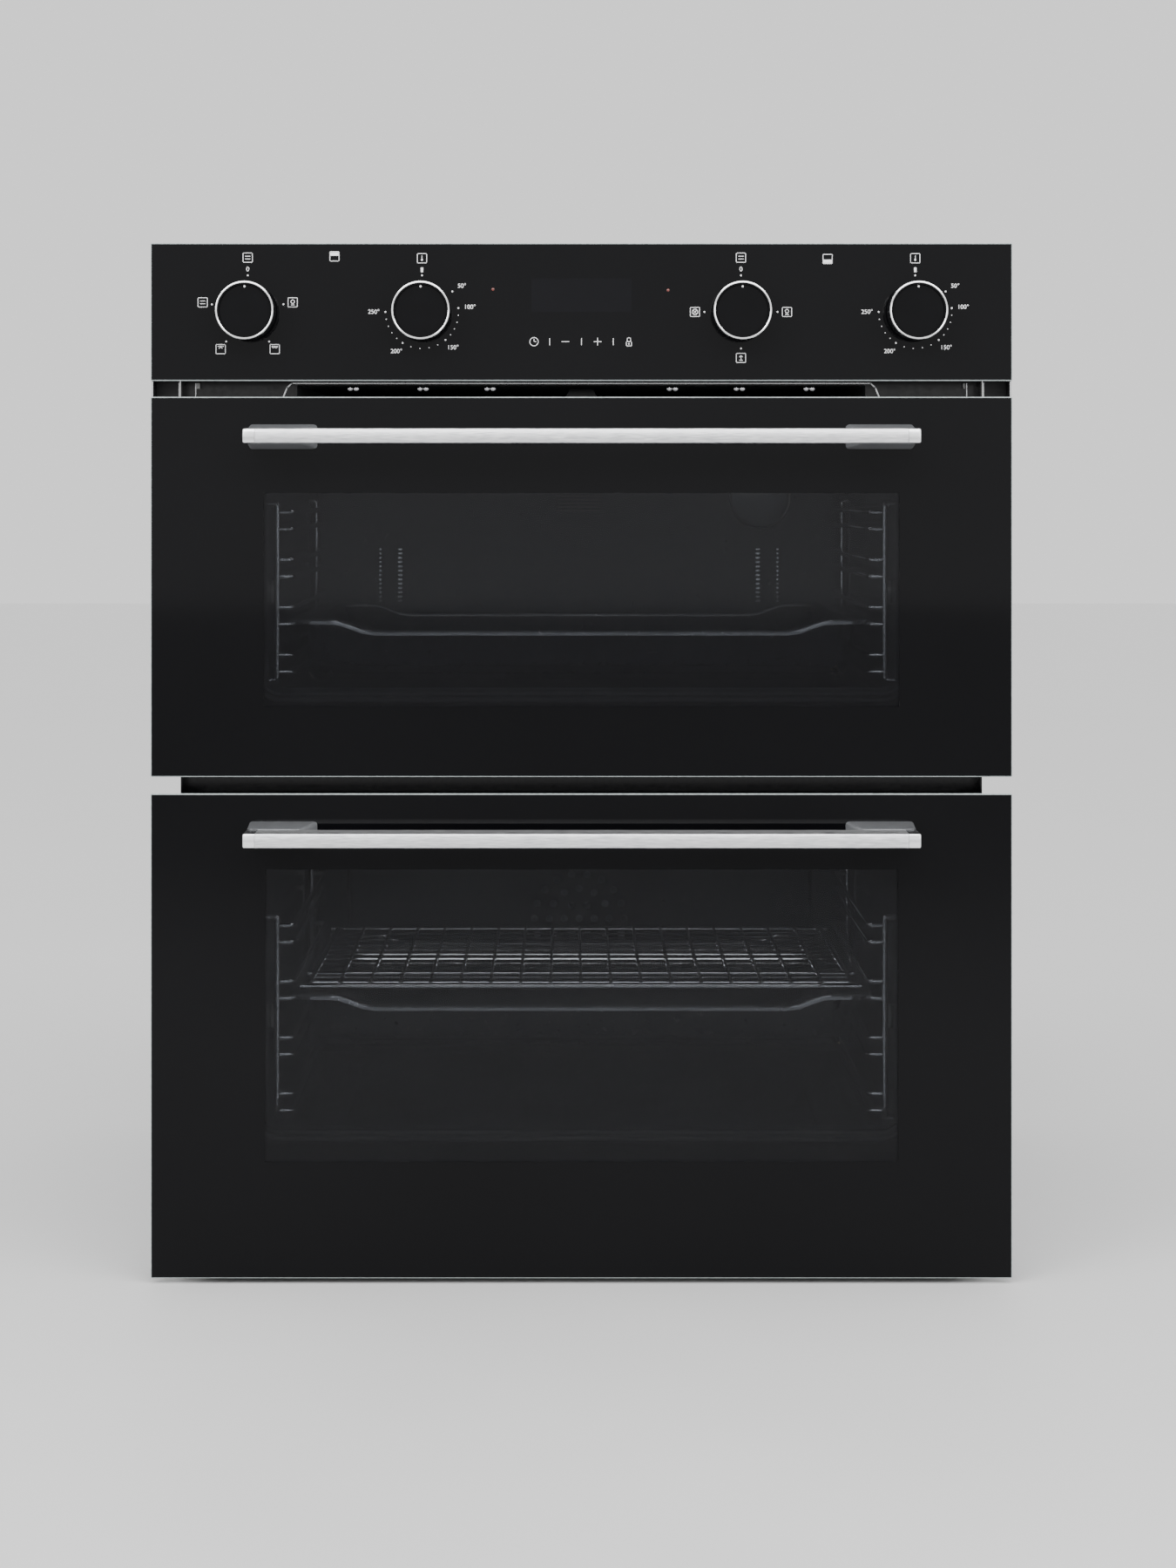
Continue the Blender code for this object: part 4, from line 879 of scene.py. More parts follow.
def stroke(bm, start, end, width=LINE, y=PRINT_Y, depth=PRINT):
    """A flat line facing the front between two (x, z) points, on the panel unless another y is given."""
    a, b = Vector(start), Vector(end)
    along = b - a
    verts = bmesh.ops.create_cube(bm, size=1)["verts"]
    bmesh.ops.scale(bm, vec=(along.length + width, depth, width), verts=verts)
    turn = Matrix.Rotation(-math.atan2(along.y, along.x), 3, "Y")
    bmesh.ops.rotate(bm, cent=(0, 0, 0), matrix=turn, verts=verts)
    centre = (a + b) / 2
    bmesh.ops.translate(bm, vec=(centre.x, y, centre.y), verts=verts)


def dot(bm, at, radius):
    place = Vector((at[0], PRINT_Y + 0.00002, at[1]))
    turned([(0, PRINT), (radius, PRINT), (radius, 0), (0, 0)], place, FORWARD, 16, into=bm)


def loop(bm, at, radius):
    place = Vector((at[0], PRINT_Y + 0.00002, at[1]))
    inner, outer = radius - LINE / 2, radius + LINE / 2
    turned([(inner, 0), (outer, 0), (outer, PRINT), (inner, PRINT)], place, FORWARD, 28, into=bm)


def lines(bm, at, size, *paths):
    """Strokes through points given in units of half the mark's size."""
    for path in paths:
        places = [(at[0] + x * size / 2, at[1] + z * size / 2) for x, z in path]
        for a, b in zip(places, places[1:]):
            stroke(bm, a, b)


# %% Framed symbols
ICON = 0.0064
SQUARE = [(-1, -1), (1, -1), (1, 1), (-1, 1), (-1, -1)]


def framed(bm, at, *paths):
    lines(bm, at, ICON, SQUARE, *paths)


def heat_symbol(bm, at):
    framed(bm, at, [(-0.5, 0.3), (0.5, 0.3)], [(-0.5, -0.3), (0.5, -0.3)])


def thermometer_symbol(bm, at):
    framed(bm, at, [(0, -0.2), (0, 0.55)])
    dot(bm, (at[0], at[1] - ICON * 0.17), 0.0007)


def lamp_symbol(bm, at):
    framed(bm, at, [(-0.3, -0.55), (0.3, -0.55)])
    loop(bm, (at[0], at[1] + ICON * 0.08), ICON * 0.19)


def grill_symbol(bm, at, full):
    waves = [(-0.6, 0.5), (-0.3, 0.2), (0, 0.5), (0.3, 0.2), (0.6, 0.5)]
    framed(bm, at, waves if full else waves[1:4])
    lines(bm, at, ICON, [(-0.6, 0.62), (0.6, 0.62)])


def fan_symbol(bm, at):
    framed(bm, at, [(-0.3, -0.3), (0.3, 0.3)], [(-0.3, 0.3), (0.3, -0.3)])
    loop(bm, at, ICON * 0.30)


def thaw_symbol(bm, at):
    arrow = [(-0.3, 0.25), (0, 0.55), (0.3, 0.25)]
    framed(bm, at, [(0, -0.55), (0, 0.55)], arrow, [(-0.3, -0.5), (0.3, -0.5)])


# %% [markdown]
# Numbers are set in the built-in typeface. A text object is made, turned into a mesh with its own thin
# extrusion, turned upright to face the front, and then moved into place, so that nothing stays a text
# object.


# %% Numbers
def number(bm, text, at, height):
    """A number centred on an (x, z) point."""
    curve = bpy.data.curves.new("number", "FONT")
    curve.body = text
    curve.size = height * 1.38
    curve.align_x, curve.align_y = "CENTER", "CENTER"
    curve.extrude = 0.00002
    upright = Matrix.Rotation(math.radians(90), 4, "X")
    meshed(curve, bm, Matrix.Translation((at[0], PRINT_Y, at[1])) @ upright)


# %% [markdown]
# The temperature scale runs clockwise from the zero at the top to 250 on the left. Its five numbered
# dots aren't evenly spaced, because the thermostat isn't linear, and four small dots divide each of the
# last three steps.

# %% Temperature scales
SCALE_RADIUS = 0.0252
TEMPERATURES = {50: 56, 100: 84, 150: 140, 200: 212, 250: 270}
MARK = 0.00062


def round_the_dial(centre, degrees, radius):
    """The (x, z) point at a clockwise angle from the top."""
    turn = math.radians(degrees)
    return centre.x + radius * math.sin(turn), centre.z + radius * math.cos(turn)


def temperature_scale(name):
    centre = DIALS[name]
    bm = bmesh.new()
    for value, degrees in TEMPERATURES.items():
        dot(bm, round_the_dial(centre, degrees, SCALE_RADIUS), MARK)
        x, z = round_the_dial(centre, degrees, SCALE_RADIUS + 0.0068)
        number(bm, f"{value}°", (x + 0.0012 * math.sin(math.radians(degrees)), z), 0.0031)
    marks = list(TEMPERATURES.values())
    for first, second in zip(marks[1:], marks[2:]):
        for i in range(1, 5):
            dot(bm, round_the_dial(centre, first + (second - first) * i / 5, SCALE_RADIUS), MARK * 0.6)
    top_x, top_z = round_the_dial(centre, 0, SCALE_RADIUS)
    dot(bm, (top_x, top_z), MARK)
    stroke(bm, (top_x, top_z + 0.0030), (top_x, top_z + 0.0046), 0.0017)
    thermometer_symbol(bm, (top_x, top_z + 0.0118))
    piece(f"{name}_scale", bm, ink, "oven")


for name in ("upper_temperature", "lower_temperature"):
    temperature_scale(name)


# %% Function marks
def function_marks(name, symbols):
    """Symbols round a selector dial: each is a clockwise angle and a symbol."""
    centre = DIALS[name]
    bm = bmesh.new()
    top_x, top_z = round_the_dial(centre, 0, SCALE_RADIUS)
    dot(bm, (top_x, top_z), MARK)
    number(bm, "0", (top_x, top_z + 0.0042), 0.0033)
    heat_symbol(bm, (top_x, top_z + 0.0122))
    for degrees, symbol in symbols:
        dot(bm, round_the_dial(centre, degrees, SCALE_RADIUS), MARK)
        symbol(bm, round_the_dial(centre, degrees, SCALE_RADIUS + 0.0065))
    piece(f"{name}_marks", bm, ink, "oven")


function_marks(
    "upper_function",
    [
        (78, lamp_symbol),
        (144, lambda bm, at: grill_symbol(bm, at, True)),
        (216, lambda bm, at: grill_symbol(bm, at, False)),
        (282, heat_symbol),
    ],
)
function_marks("lower_function", [(90, lamp_symbol), (180, thaw_symbol), (270, fan_symbol)])

# %% [markdown]
# Between the dials are two symbols that tell which oven a pair of dials works, the touch keys of the
# clock, and two indicator lamps. The keys are drawn as strokes on one line.

# %% Oven symbols and touch keys
KEYS_Z = 0.6490


def oven_symbol(bm, at, top):
    lines(bm, at, ICON, SQUARE)
    z = at[1] + (0.25 if top else -0.25) * ICON
    stroke(bm, (at[0] - ICON * 0.32, z), (at[0] + ICON * 0.32, z), ICON * 0.36)


def padlock(bm, at):
    lines(bm, at, 0.006, [(-0.6, -1), (0.6, -1), (0.6, 0), (-0.6, 0), (-0.6, -1)])
    lines(bm, at, 0.006, [(-0.4, 0), (-0.4, 0.6), (-0.2, 0.9), (0.2, 0.9), (0.4, 0.6), (0.4, 0)])
    dot(bm, (at[0], at[1] - 0.0015), 0.0005)


keys = bmesh.new()
oven_symbol(keys, (-0.1702, 0.7078), True)
oven_symbol(keys, (0.1696, 0.7060), False)
loop(keys, (-0.0327, KEYS_Z), 0.0029)
lines(keys, (-0.0327, KEYS_Z), 0.0058, [(0, 0.6), (0, 0), (0.45, 0)])
for x in (-0.0219, 0.0, 0.0219):
    stroke(keys, (x, KEYS_Z - 0.0022), (x, KEYS_Z + 0.0022))
for x in (-0.0111, 0.0111):
    stroke(keys, (x - 0.0024, KEYS_Z), (x + 0.0024, KEYS_Z))
stroke(keys, (0.0111, KEYS_Z - 0.0024), (0.0111, KEYS_Z + 0.0024))
padlock(keys, (0.0327, KEYS_Z))
piece("touch_keys", keys, ink, "oven")

# %% Indicator lamps
lamps = bmesh.new()
for x, z in ((-0.0610, 0.6851), (0.0597, 0.6845)):
    dome = [(0, 0.0004), (0.0006, 0.0003), (0.0010, 0.0001), (0.0011, -0.0003), (0, -0.0003)]
    turned(dome, (x, FACE_Y, z), FORWARD, 20, into=lamps)
piece("indicator_lamps", lamps, lens_red, "oven")

# %% [markdown]
# ## Inside the ovens
# Each oven is a deep-drawn liner: its corners are wide curves, because enamel chips off sharp ones. The
# box starts as a cube without its front face, the bevel rounds it, and solidify gives the steel its
# thickness. Holes are cut with a Boolean modifier, which is applied at once by reading the evaluated
# mesh back.


# %% Cutting and shells
def cut_out(bm, cutter):
    """Takes one bmesh out of another and frees them both."""
    made = []
    for source in (bm, cutter):
        bmesh.ops.recalc_face_normals(source, faces=source.faces[:])
        mesh = bpy.data.meshes.new("passing")
        source.to_mesh(mesh)
        source.free()
        made.append(bpy.data.objects.new("passing", mesh))
        bpy.context.scene.collection.objects.link(made[-1])
    modifier = made[0].modifiers.new("cut", "BOOLEAN")
    modifier.operation = "DIFFERENCE"
    modifier.object = made[1]
    result = bmesh.new()
    result.from_object(made[0], bpy.context.evaluated_depsgraph_get())
    for thing in made:
        mesh = thing.data
        bpy.data.objects.remove(thing)
        bpy.data.meshes.remove(mesh)
    return result


def open_box(low, high, open_side, radius, wall):
    """A box with one side left out, rounded edges and a wall inside its outer surface."""
    bm = block(low, high)
    bm.normal_update()
    away = Vector(open_side)
    bmesh.ops.delete(bm, geom=[f for f in bm.faces if f.normal.dot(away) > 0.9], context="FACES_ONLY")
    round_off(bm, [e for e in bm.edges if len(e.link_faces) == 2], radius, 4)
    bmesh.ops.recalc_face_normals(bm, faces=bm.faces[:])
    bmesh.ops.solidify(bm, geom=bm.faces[:], thickness=wall)
    return bm


def disc(at, axis, radius, reach, steps=24, into=None):
    """A plain round plug, used to cut holes."""
    return turned([(0, -reach), (radius, -reach), (radius, reach), (0, reach)], at, axis, steps, into)


# %% [markdown]
# The back wall of the upper oven has two pairs of narrow louvre columns and a small louvred plate at the
# top. The lower oven has one short column at each side of its back wall, and a pressed step in its
# floor. Louvres are rows of small rounded bars, standing just proud of the wall.

# %% Cavity liners
LINER = 0.001
LINER_RADIUS = 0.012
LAMP_HOLE = 0.0215
SHAFT_HOLE = 0.0062
HOLE_REACH = 0.006
LOUVRE_PROUD = 0.0011
LOUVRE_ROOT = 0.0004
LOUVRE_PITCH, LOUVRE_HEIGHT = 0.0036, 0.0017


def bar_column(bm, x, wall_y, low_z, high_z, width):
    """A column of small bars on the back wall."""
    front, back = wall_y - LOUVRE_PROUD, wall_y + LOUVRE_ROOT
    for i in range(int((high_z - low_z) / LOUVRE_PITCH)):
        z = low_z + i * LOUVRE_PITCH
        block((x - width / 2, front, z), (x + width / 2, back, z + LOUVRE_HEIGHT), LOUVRE_ROOT, 1, into=bm)


def cavity(oven):
    low, high = corners(f"{oven}_cavity")
    liner = open_box(low, high, FORWARD, LINER_RADIUS, LINER)
    lens = middle(f"{oven}_lamp")
    wall_y = high.y - LINER
    plugs = disc((lens.x, wall_y, lens.z), FORWARD, LAMP_HOLE, HOLE_REACH)
    if oven == "lower":
        fan = middle("fan_baffle")
        disc((0, wall_y, fan.z), FORWARD, SHAFT_HOLE, HOLE_REACH, into=plugs)
    liner = cut_out(liner, plugs)
    piece(f"{oven}_liner", liner, enamel, "oven", [f"{oven}_cavity"])
    return low, high, wall_y


LIGHT_COLUMNS = (0.1490, 0.1655)
low, high, wall_y = cavity("upper")
louvres = bmesh.new()
for side in (-1, 1):
    for x, width in zip(LIGHT_COLUMNS, (0.0040, 0.0022)):
        bar_column(louvres, side * x, wall_y, low.z + 0.064, low.z + 0.113, width)
piece("upper_wall_louvres", louvres, ring_chrome, "oven")
plate = bmesh.new()
PLATE_HALF = 0.0190
front, back = wall_y - 0.0010, wall_y + LOUVRE_ROOT
for i in range(5):
    z = high.z - 0.0545 + i * 0.0030
    block((-PLATE_HALF, front, z), (PLATE_HALF, back, z + 0.0016), LOUVRE_ROOT, 1, into=plate)
piece("upper_wall_plate", plate, sheath, "oven")

low, high, wall_y = cavity("lower")
louvres = bmesh.new()
for side in (-1, 1):
    bar_column(louvres, side * 0.1860, wall_y, low.z + 0.026, low.z + 0.060, 0.0030)
# The lower louvres take the pale metallic finish, a painted highlight on the bars.
piece("lower_wall_louvres", louvres, highlight_enamel, "oven")
STEP_HALF = 0.172
STEP_MARGIN = 0.060
step_low = (-STEP_HALF, low.y + STEP_MARGIN, low.z + 0.0006)
floor_step = block(step_low, (STEP_HALF, wall_y - STEP_MARGIN, low.z + 0.0030), 0.0014, 2)
piece("lower_floor_step", floor_step, enamel, "oven")

# %% [markdown]
# ### Shelf racks
# A rack is bent from chromed wire: two uprights whose ends turn into the wall, and for every shelf a
# long U-shaped pair of rungs with a slot between them. A round nut holds it at the front.

# %% Racks
RACK_WIRE = 0.0022
RUNG_WIRE = 0.0019
SHELF_SLOT = 0.012
SHELVES = 4
NUT = [
    (0, -0.001),
    (0.0075, -0.001),
    (0.0082, 0.0006),
    (0.0082, 0.0028),
    (0.0070, 0.0042),
    (0.0030, 0.0048),
    (0, 0.0048),
]


def rack(oven, side_name, side):
    node = f"{oven}_rack_{side_name}"
    low, high = corners(node)
    wall = high.x if side > 0 else low.x
    inner = low.x if side > 0 else high.x
    upright = wall - side * 0.0042
    rung = inner + side * 0.0014
    front, back = low.y + RACK_WIRE, high.y - RACK_WIRE
    foot, head = low.z + RACK_WIRE - 0.0003, high.z - RACK_WIRE + 0.0003
    first = foot + SHELF_SLOT / 2
    last = head - 1.5 * SHELF_SLOT
    bm = bmesh.new()
    for y in (front, back):
        ends = [(wall, y, foot), (upright, y, foot), (upright, y, head), (wall, y, head)]
        wire(ends, RACK_WIRE, 12, 0.0030, into=bm)
    for i in range(SHELVES):
        level = first + (last - first) * i / (SHELVES - 1)
        for z in (level, level + SHELF_SLOT):
            ends = [(upright, front, z), (rung, front, z), (rung, back, z), (upright, back, z)]
            wire(ends, RUNG_WIRE, 12, 0.0060, into=bm)
    piece(f"{oven}_rack_wires_{side_name}", bm, chrome, "oven", [node])
    place = (wall, front + 0.0085, (first + last) / 2 + SHELF_SLOT / 2)
    nut = turned(NUT, place, (-side, 0, 0), 20)
    piece(f"{oven}_rack_nut_{side_name}", nut, zinc, "oven")


for oven in OVENS:
    for side_name, side in SIDES:
        rack(oven, side_name, side)

# %% [markdown]
# ### Trays
# A tray is drawn from one enamelled sheet. Its rim lies flat on the rack at both sides, dips along the
# front and back, and turns down at the edge. Below the rim the wall slopes to a flat bottom. The shape
# is a stack of rounded rectangles, each a little further in and lower, extruded one from the next.
# Solidify then gives the sheet. The edge and the inner fold of the rim get a pale metallic finish: a
# painted highlight for the light that these rounded steps reflect.


# %% Rounded outlines
def rounded_rectangle(half_x, half_y, radius, steps=6, side_points=0):
    """Points round a rectangle with rounded corners, anticlockwise, with extra points on the long sides."""
    points = []
    for turn, (sx, sy) in enumerate(((1, -1), (1, 1), (-1, 1), (-1, -1))):
        first = math.radians(-90 + 90 * turn)
        for i in range(steps + 1):
            angle = first + math.radians(90) * i / steps
            x = sx * (half_x - radius) + radius * math.cos(angle)
            points.append((x, sy * (half_y - radius) + radius * math.sin(angle)))
        if side_points and turn in (1, 3):
            run = half_x - radius
            for i in range(1, side_points):
                points.append((sx * run * (1 - 2 * i / side_points), sy * half_y))
    return points


def stacked(loops, cap=True, accents=()):
    """Extrudes a closed loop of points to each next one, and fills the last. Accented steps get slot 1."""
    bm = bmesh.new()
    verts = [bm.verts.new(p) for p in loops[0]]
    ring = [bm.edges.new((a, b)) for a, b in zip(verts, verts[1:] + verts[:1])]
    place_of = {vert: i for i, vert in enumerate(verts)}
    for step, points in enumerate(loops[1:]):
        grown = bmesh.ops.extrude_edge_only(bm, edges=ring)["geom"]
        for face in (f for f in grown if isinstance(f, bmesh.types.BMFace)):
            face.material_index = 1 if step in accents else 0
        fresh = {}
        for vert in (v for v in grown if isinstance(v, bmesh.types.BMVert)):
            before = next(e.other_vert(vert) for e in vert.link_edges if e.other_vert(vert) in place_of)
            fresh[vert] = place_of[before]
            vert.co = points[fresh[vert]]
        ring = [e for e in grown if isinstance(e, bmesh.types.BMEdge) and all(v in fresh for v in e.verts)]
        place_of = fresh
    if cap:
        bmesh.ops.edgeloop_fill(bm, edges=ring)
    bmesh.ops.recalc_face_normals(bm, faces=bm.faces[:])
    return bm


# %% Trays
TRAY_SHEET = 0.0011
TRAY_CORNER = 0.018
RIM_DIP = 0.008
WALL_FROM, WALL_FALL = 0.0026, 0.0264
DIP_FROM, DIP_TO = 0.060, 0.031
# Rim steps that get the pale metallic finish, a painted highlight.
HIGHLIGHT_STEPS = (0, 1, 4)
TRAY_STEPS = [
    (0.0002, -0.0034),
    (0.0000, -0.0010),
    (0.0008, 0.0000),
    (0.0098, 0.0000),
    (0.0112, -0.0008),
    (0.0118, -0.0026),
    (0.0160, -0.0290),
    (0.0176, -0.0318),
    (0.0206, -0.0329),
    (0.0300, -0.0329),
    (0.0320, -0.0317),
]


def rim_fall(x, half_x):
    """How far the rim lies below its sides: a smooth fall between two distances from the side."""
    share = min(max((half_x - abs(x) - DIP_TO) / (DIP_FROM - DIP_TO), 0), 1)
    return RIM_DIP * share * share * (3 - 2 * share)


def tray(oven):
    low, high = corners(f"{oven}_tray")
    half_x, half_y = (high.x - low.x) / 2, (high.y - low.y) / 2
    centre_y = (low.y + high.y) / 2
    falls = [rim_fall(x, half_x) for x, _ in rounded_rectangle(half_x, half_y, TRAY_CORNER, 6, 44)]
    loops = []
    for inset, height in TRAY_STEPS:
        points = rounded_rectangle(half_x - inset, half_y - inset, TRAY_CORNER, 6, 44)
        share = min(max(1 + (height + WALL_FROM) / WALL_FALL, 0), 1)
        top = high.z + height
        loops.append([(x, y + centre_y, top - share * fall) for (x, y), fall in zip(points, falls)])
    bm = stacked(loops, accents=HIGHLIGHT_STEPS)
    floor_face = max(bm.faces, key=lambda face: face.calc_area())
    up = floor_face.normal.z
    bmesh.ops.solidify(bm, geom=bm.faces[:], thickness=TRAY_SHEET * (1 if up > 0 else -1))
    body = f"{oven}_tray_body"
    piece(f"{oven}_tray_pan", bm, (enamel, highlight_enamel), body, [f"{oven}_tray"], 40)


for oven in OVENS:
    tray(oven)

# %% [markdown]
# ### Wire grid
# The grid lies loose on the lower tray: a closed frame, three stout cross bars whose ends rest on the
# tray's rims, many thin bars along its depth, and fine cross wires under them. Where bars cross they are
# spot-welded.

# %% Wire grid
low, high = corners("wire_grid")
GRID_Z = low.z + 0.0022
GRID_BARS = 19
FINE_WIRES = 13
front, back = low.y + RACK_WIRE, high.y - RACK_WIRE
half_x = high.x - 0.0058
grid = bmesh.new()
for share in (0, 0.2, 1):
    y = front + (back - front) * share
    wire([(low.x, y, GRID_Z), (high.x, y, GRID_Z)], RACK_WIRE, 12, into=grid)
centre_y, half_y = (front + back) / 2, (back - front) / 2
outline = [(x, y + centre_y, GRID_Z) for x, y in rounded_rectangle(half_x, half_y, 0.006)]
wire(outline, RACK_WIRE, 12, into=grid, closed=True)
for i in range(1, GRID_BARS - 1):
    x = -half_x + 2 * half_x * i / (GRID_BARS - 1)
    wire([(x, front, GRID_Z + 0.0014), (x, back, GRID_Z + 0.0014)], 0.0014, 10, into=grid)
for i in range(1, FINE_WIRES):
    y = front + (back - front) * i / FINE_WIRES
    wire([(-half_x, y, GRID_Z - 0.0006), (half_x, y, GRID_Z - 0.0006)], 0.0010, 8, into=grid)
piece("grid_wires", grid, chrome, "grid_body", ["wire_grid"])

# %% [markdown]
# ### Heaters, fan cover and lamps
# A tubular heater is one long steel tube, bent cold. The grill heater runs to and fro under the ceiling,
# and the ring heater lies round the fan. Both are wires along paths made of straight runs and half
# circles.


# %% Heaters
def half_turn(centre, radius, start, end, steps, lie_flat):
    """Points on an arc, either level (x, y) or upright (x, z)."""
    points = []
    for i in range(steps + 1):
        angle = math.radians(start + (end - start) * i / steps)
        across, other = radius * math.cos(angle), radius * math.sin(angle)
        points.append(Vector(centre) + Vector((across, other, 0) if lie_flat else (across, 0, other)))
    return points


low, high = corners("grill_element")
TUBE = 0.0033
z = (low.z + high.z) / 2
bend = (high.x - TUBE) / 5
front = low.y + TUBE + 0.026 + bend
back = corners("upper_cavity")[1].y - LINER - 0.045 - bend
cross = low.y + TUBE
CROSS_BEND = 0.012
half = [Vector((bend, high.y, z)), *half_turn((2 * bend, front, z), bend, 180, 360, 16, True)]
half += half_turn((4 * bend, back, z), bend, 180, 0, 16, True)
half += half_turn((5 * bend - CROSS_BEND, cross + CROSS_BEND, z), CROSS_BEND, 0, -90, 6, True)
path = half + [Vector((-p.x, p.y, p.z)) for p in reversed(half)]
heaters = wire(path, TUBE, 14)
HANGER = 0.004
for x in (-0.110, 0.110):
    hanger_low = (x - HANGER, front - HANGER, z - 0.0045)
    block(hanger_low, (x + HANGER, front + HANGER, z + 0.0225), 0.0010, 2, into=heaters)
piece("grill_tube", heaters, sheath, "oven", ["grill_element"])

low, high = corners("fan_element")
TUBE = 0.0035
RING = high.x - TUBE
FAN_Z = high.z - TUBE - RING
y = low.y + TUBE
opening = math.degrees(math.asin(4 * TUBE / RING))
circle = half_turn((0, y, FAN_Z), RING, -90 + opening, 270 - opening, 72, False)
tails = [Vector((end.x, high.y, end.z)) for end in (circle[0], circle[-1])]
ring_tube = wire([tails[0], *circle, tails[1]], TUBE, 14)
piece("ring_tube", ring_tube, sheath, "oven", ["fan_element"])

# %% [markdown]
# The fan cover is a shallow enamelled pan. The fan draws air in through a rosette of holes in its middle
# and blows it out through the slots at both sides. Each ring of the rosette has six holes more than the
# one before. The oven's lamp looks out through a larger hole.

# %% Fan cover
low, high = corners("fan_baffle")
COVER_RADIUS = 0.007
cover = open_box(low, high, BACKWARD, COVER_RADIUS, LINER)
HOLE_PITCH = 0.0122
HOLE_RADIUS = 0.0031
COVER_REACH = 0.004
COVER_LAMP_HOLE = 0.0266
holes = disc((0, low.y, FAN_Z), FORWARD, HOLE_RADIUS, COVER_REACH, 12)
for ring in range(1, 4):
    for i in range(6 * ring):
        turn = math.tau * i / (6 * ring)
        place = (ring * HOLE_PITCH * math.cos(turn), low.y, FAN_Z + ring * HOLE_PITCH * math.sin(turn))
        disc(place, FORWARD, HOLE_RADIUS, COVER_REACH, 12, into=holes)
COVER_SLOTS = 7
COVER_SLOT_PITCH, COVER_SLOT_HEIGHT = 0.020, 0.011
for side in (-1, 1):
    near, far = sorted((side * (high.x - 0.004), side * (high.x + 0.003)))
    for i in range(COVER_SLOTS):
        z = low.z + 0.034 + i * COVER_SLOT_PITCH
        block((near, low.y + 0.016, z), (far, high.y - 0.010, z + COVER_SLOT_HEIGHT), into=holes)
lens = middle("lower_lamp")
disc((lens.x, low.y, lens.z), FORWARD, COVER_LAMP_HOLE, COVER_REACH, 40, into=holes)
cover = cut_out(cover, holes)
piece("fan_cover", cover, enamel, "oven", ["fan_baffle"])

# %% Lamps
LENS = 0.0257
DOME = 0.0236
DOME_HEIGHT = 0.009
DOME_STEPS = 15
RIPPLE = 0.0004


def lamp(oven):
    """A ribbed glass dome in a metal ring, with its ceramic socket behind the wall."""
    low, high = corners(f"{oven}_lamp")
    at = Vector(((low.x + high.x) / 2, corners(f"{oven}_cavity")[1].y - LINER, (low.z + high.z) / 2))
    stem = at.y - low.y - DOME_HEIGHT
    dome = [(0, stem + DOME_HEIGHT)]
    for i in range(1, DOME_STEPS):
        share = i / DOME_STEPS
        ripple = 0 if i % 2 else -RIPPLE
        dome.append((DOME * share, stem + DOME_HEIGHT * math.sqrt(1 - share * share) + ripple))
    dome += [(0.0240, stem), (0.0240, 0.0004), (0, 0.0004)]
    glass = turned(dome, at, FORWARD, 48)
    piece(f"{oven}_lamp_lens", glass, lamp_glass, "oven", [f"{oven}_lamp"])
    rim = [(0.0241, stem - 0.0015), (LENS, stem - 0.0015), (LENS, stem + 0.0010), (0.0250, stem + 0.0022)]
    rim += [(0.0241, stem + 0.0018)]
    piece(f"{oven}_lamp_rim", turned(rim, at, FORWARD, 48), zinc, "oven")
    rear = at.y - high.y
    socket = [(0, rear), (0.0120, rear), (0.0150, rear + 0.003)]
    socket += [(0.0205, -0.020), (0.0205, -0.0004), (0, -0.0004)]
    piece(f"{oven}_lamp_socket", turned(socket, at, FORWARD, 32), phenolic, "oven")


for oven in OVENS:
    lamp(oven)

# %% [markdown]
# ## Front of the body
# The seal round each mouth is a hollow silicone profile with two soft lips. Here it is two closed round
# beads on a flat web, which read the same from the front and when a door is open.


# %% Door seals
SEAL_LIP = 0.0017
SEAL_CORNER = 0.021
WEB_STEPS = ((0.0020, 0.0004), (0.0060, 0.0004), (0.0060, 0.0016), (0.0020, 0.0016), (0.0020, 0.0004))


def seal(oven):
    low, high = corners(f"{oven}_door_seal")
    centre_z, y = (low.z + high.z) / 2, (low.y + high.y) / 2
    half_x, half_z = (high.x - low.x) / 2, (high.z - low.z) / 2
    bm = bmesh.new()

    def outline(inset):
        return rounded_rectangle(half_x - inset, half_z - inset, SEAL_CORNER - inset, 8)

    for inset in (SEAL_LIP, 0.0063):
        wire([(x, y, centre_z + z) for x, z in outline(inset)], SEAL_LIP, 12, into=bm, closed=True)
    loops = [[(x, y + depth, centre_z + z) for x, z in outline(inset)] for inset, depth in WEB_STEPS]
    web = stacked(loops, cap=False)
    bmesh.ops.remove_doubles(web, verts=web.verts, dist=1e-6)
    piece(f"{oven}_seal_lips", merged(bm, web), seal_rubber, "oven", [f"{oven}_door_seal"])


for oven in OVENS:
    seal(oven)

# %% [markdown]
# The cooling air leaves through the gap under the control panel. A thin folded lip frames the outlet,
# guide screws stand inside it, and a small catch sits in its middle. At each end of the gap the control
# panel's carrier comes down as a tab with bare cut edges, and a white plastic clip holds the side
# return.

# %% Air outlet
frame_y = corners("front_frame")[1].y - 0.001
gap_low = corners("upper_door_glass")[1].z
gap_high = corners("control_glass")[0].z
duct_x = corners("cooling_duct")[1].x
lip_y = frame_y - 0.0010
lip = bmesh.new()
LIP_TOP = gap_high - 0.0004
left_end = [(-duct_x - 0.0090, gap_low), (-duct_x - 0.0058, LIP_TOP - 0.0030), (-duct_x - 0.0025, LIP_TOP)]
lip_path = left_end + [(-x, z) for x, z in reversed(left_end)]
for first, second in zip(lip_path, lip_path[1:]):
    stroke(lip, first, second, 0.0009, lip_y, 0.0012)
piece("outlet_lip", lip, bare_steel, "oven")

catch = block((-0.0120, lip_y - 0.0016, gap_low - 0.0015), (0.0120, lip_y, gap_high - 0.0045), 0.0007, 2)
for vert in catch.verts:
    if vert.co.z > (gap_low + gap_high) / 2 - 0.002:
        vert.co.x *= 0.72
piece("outlet_catch", catch, powder, "oven")


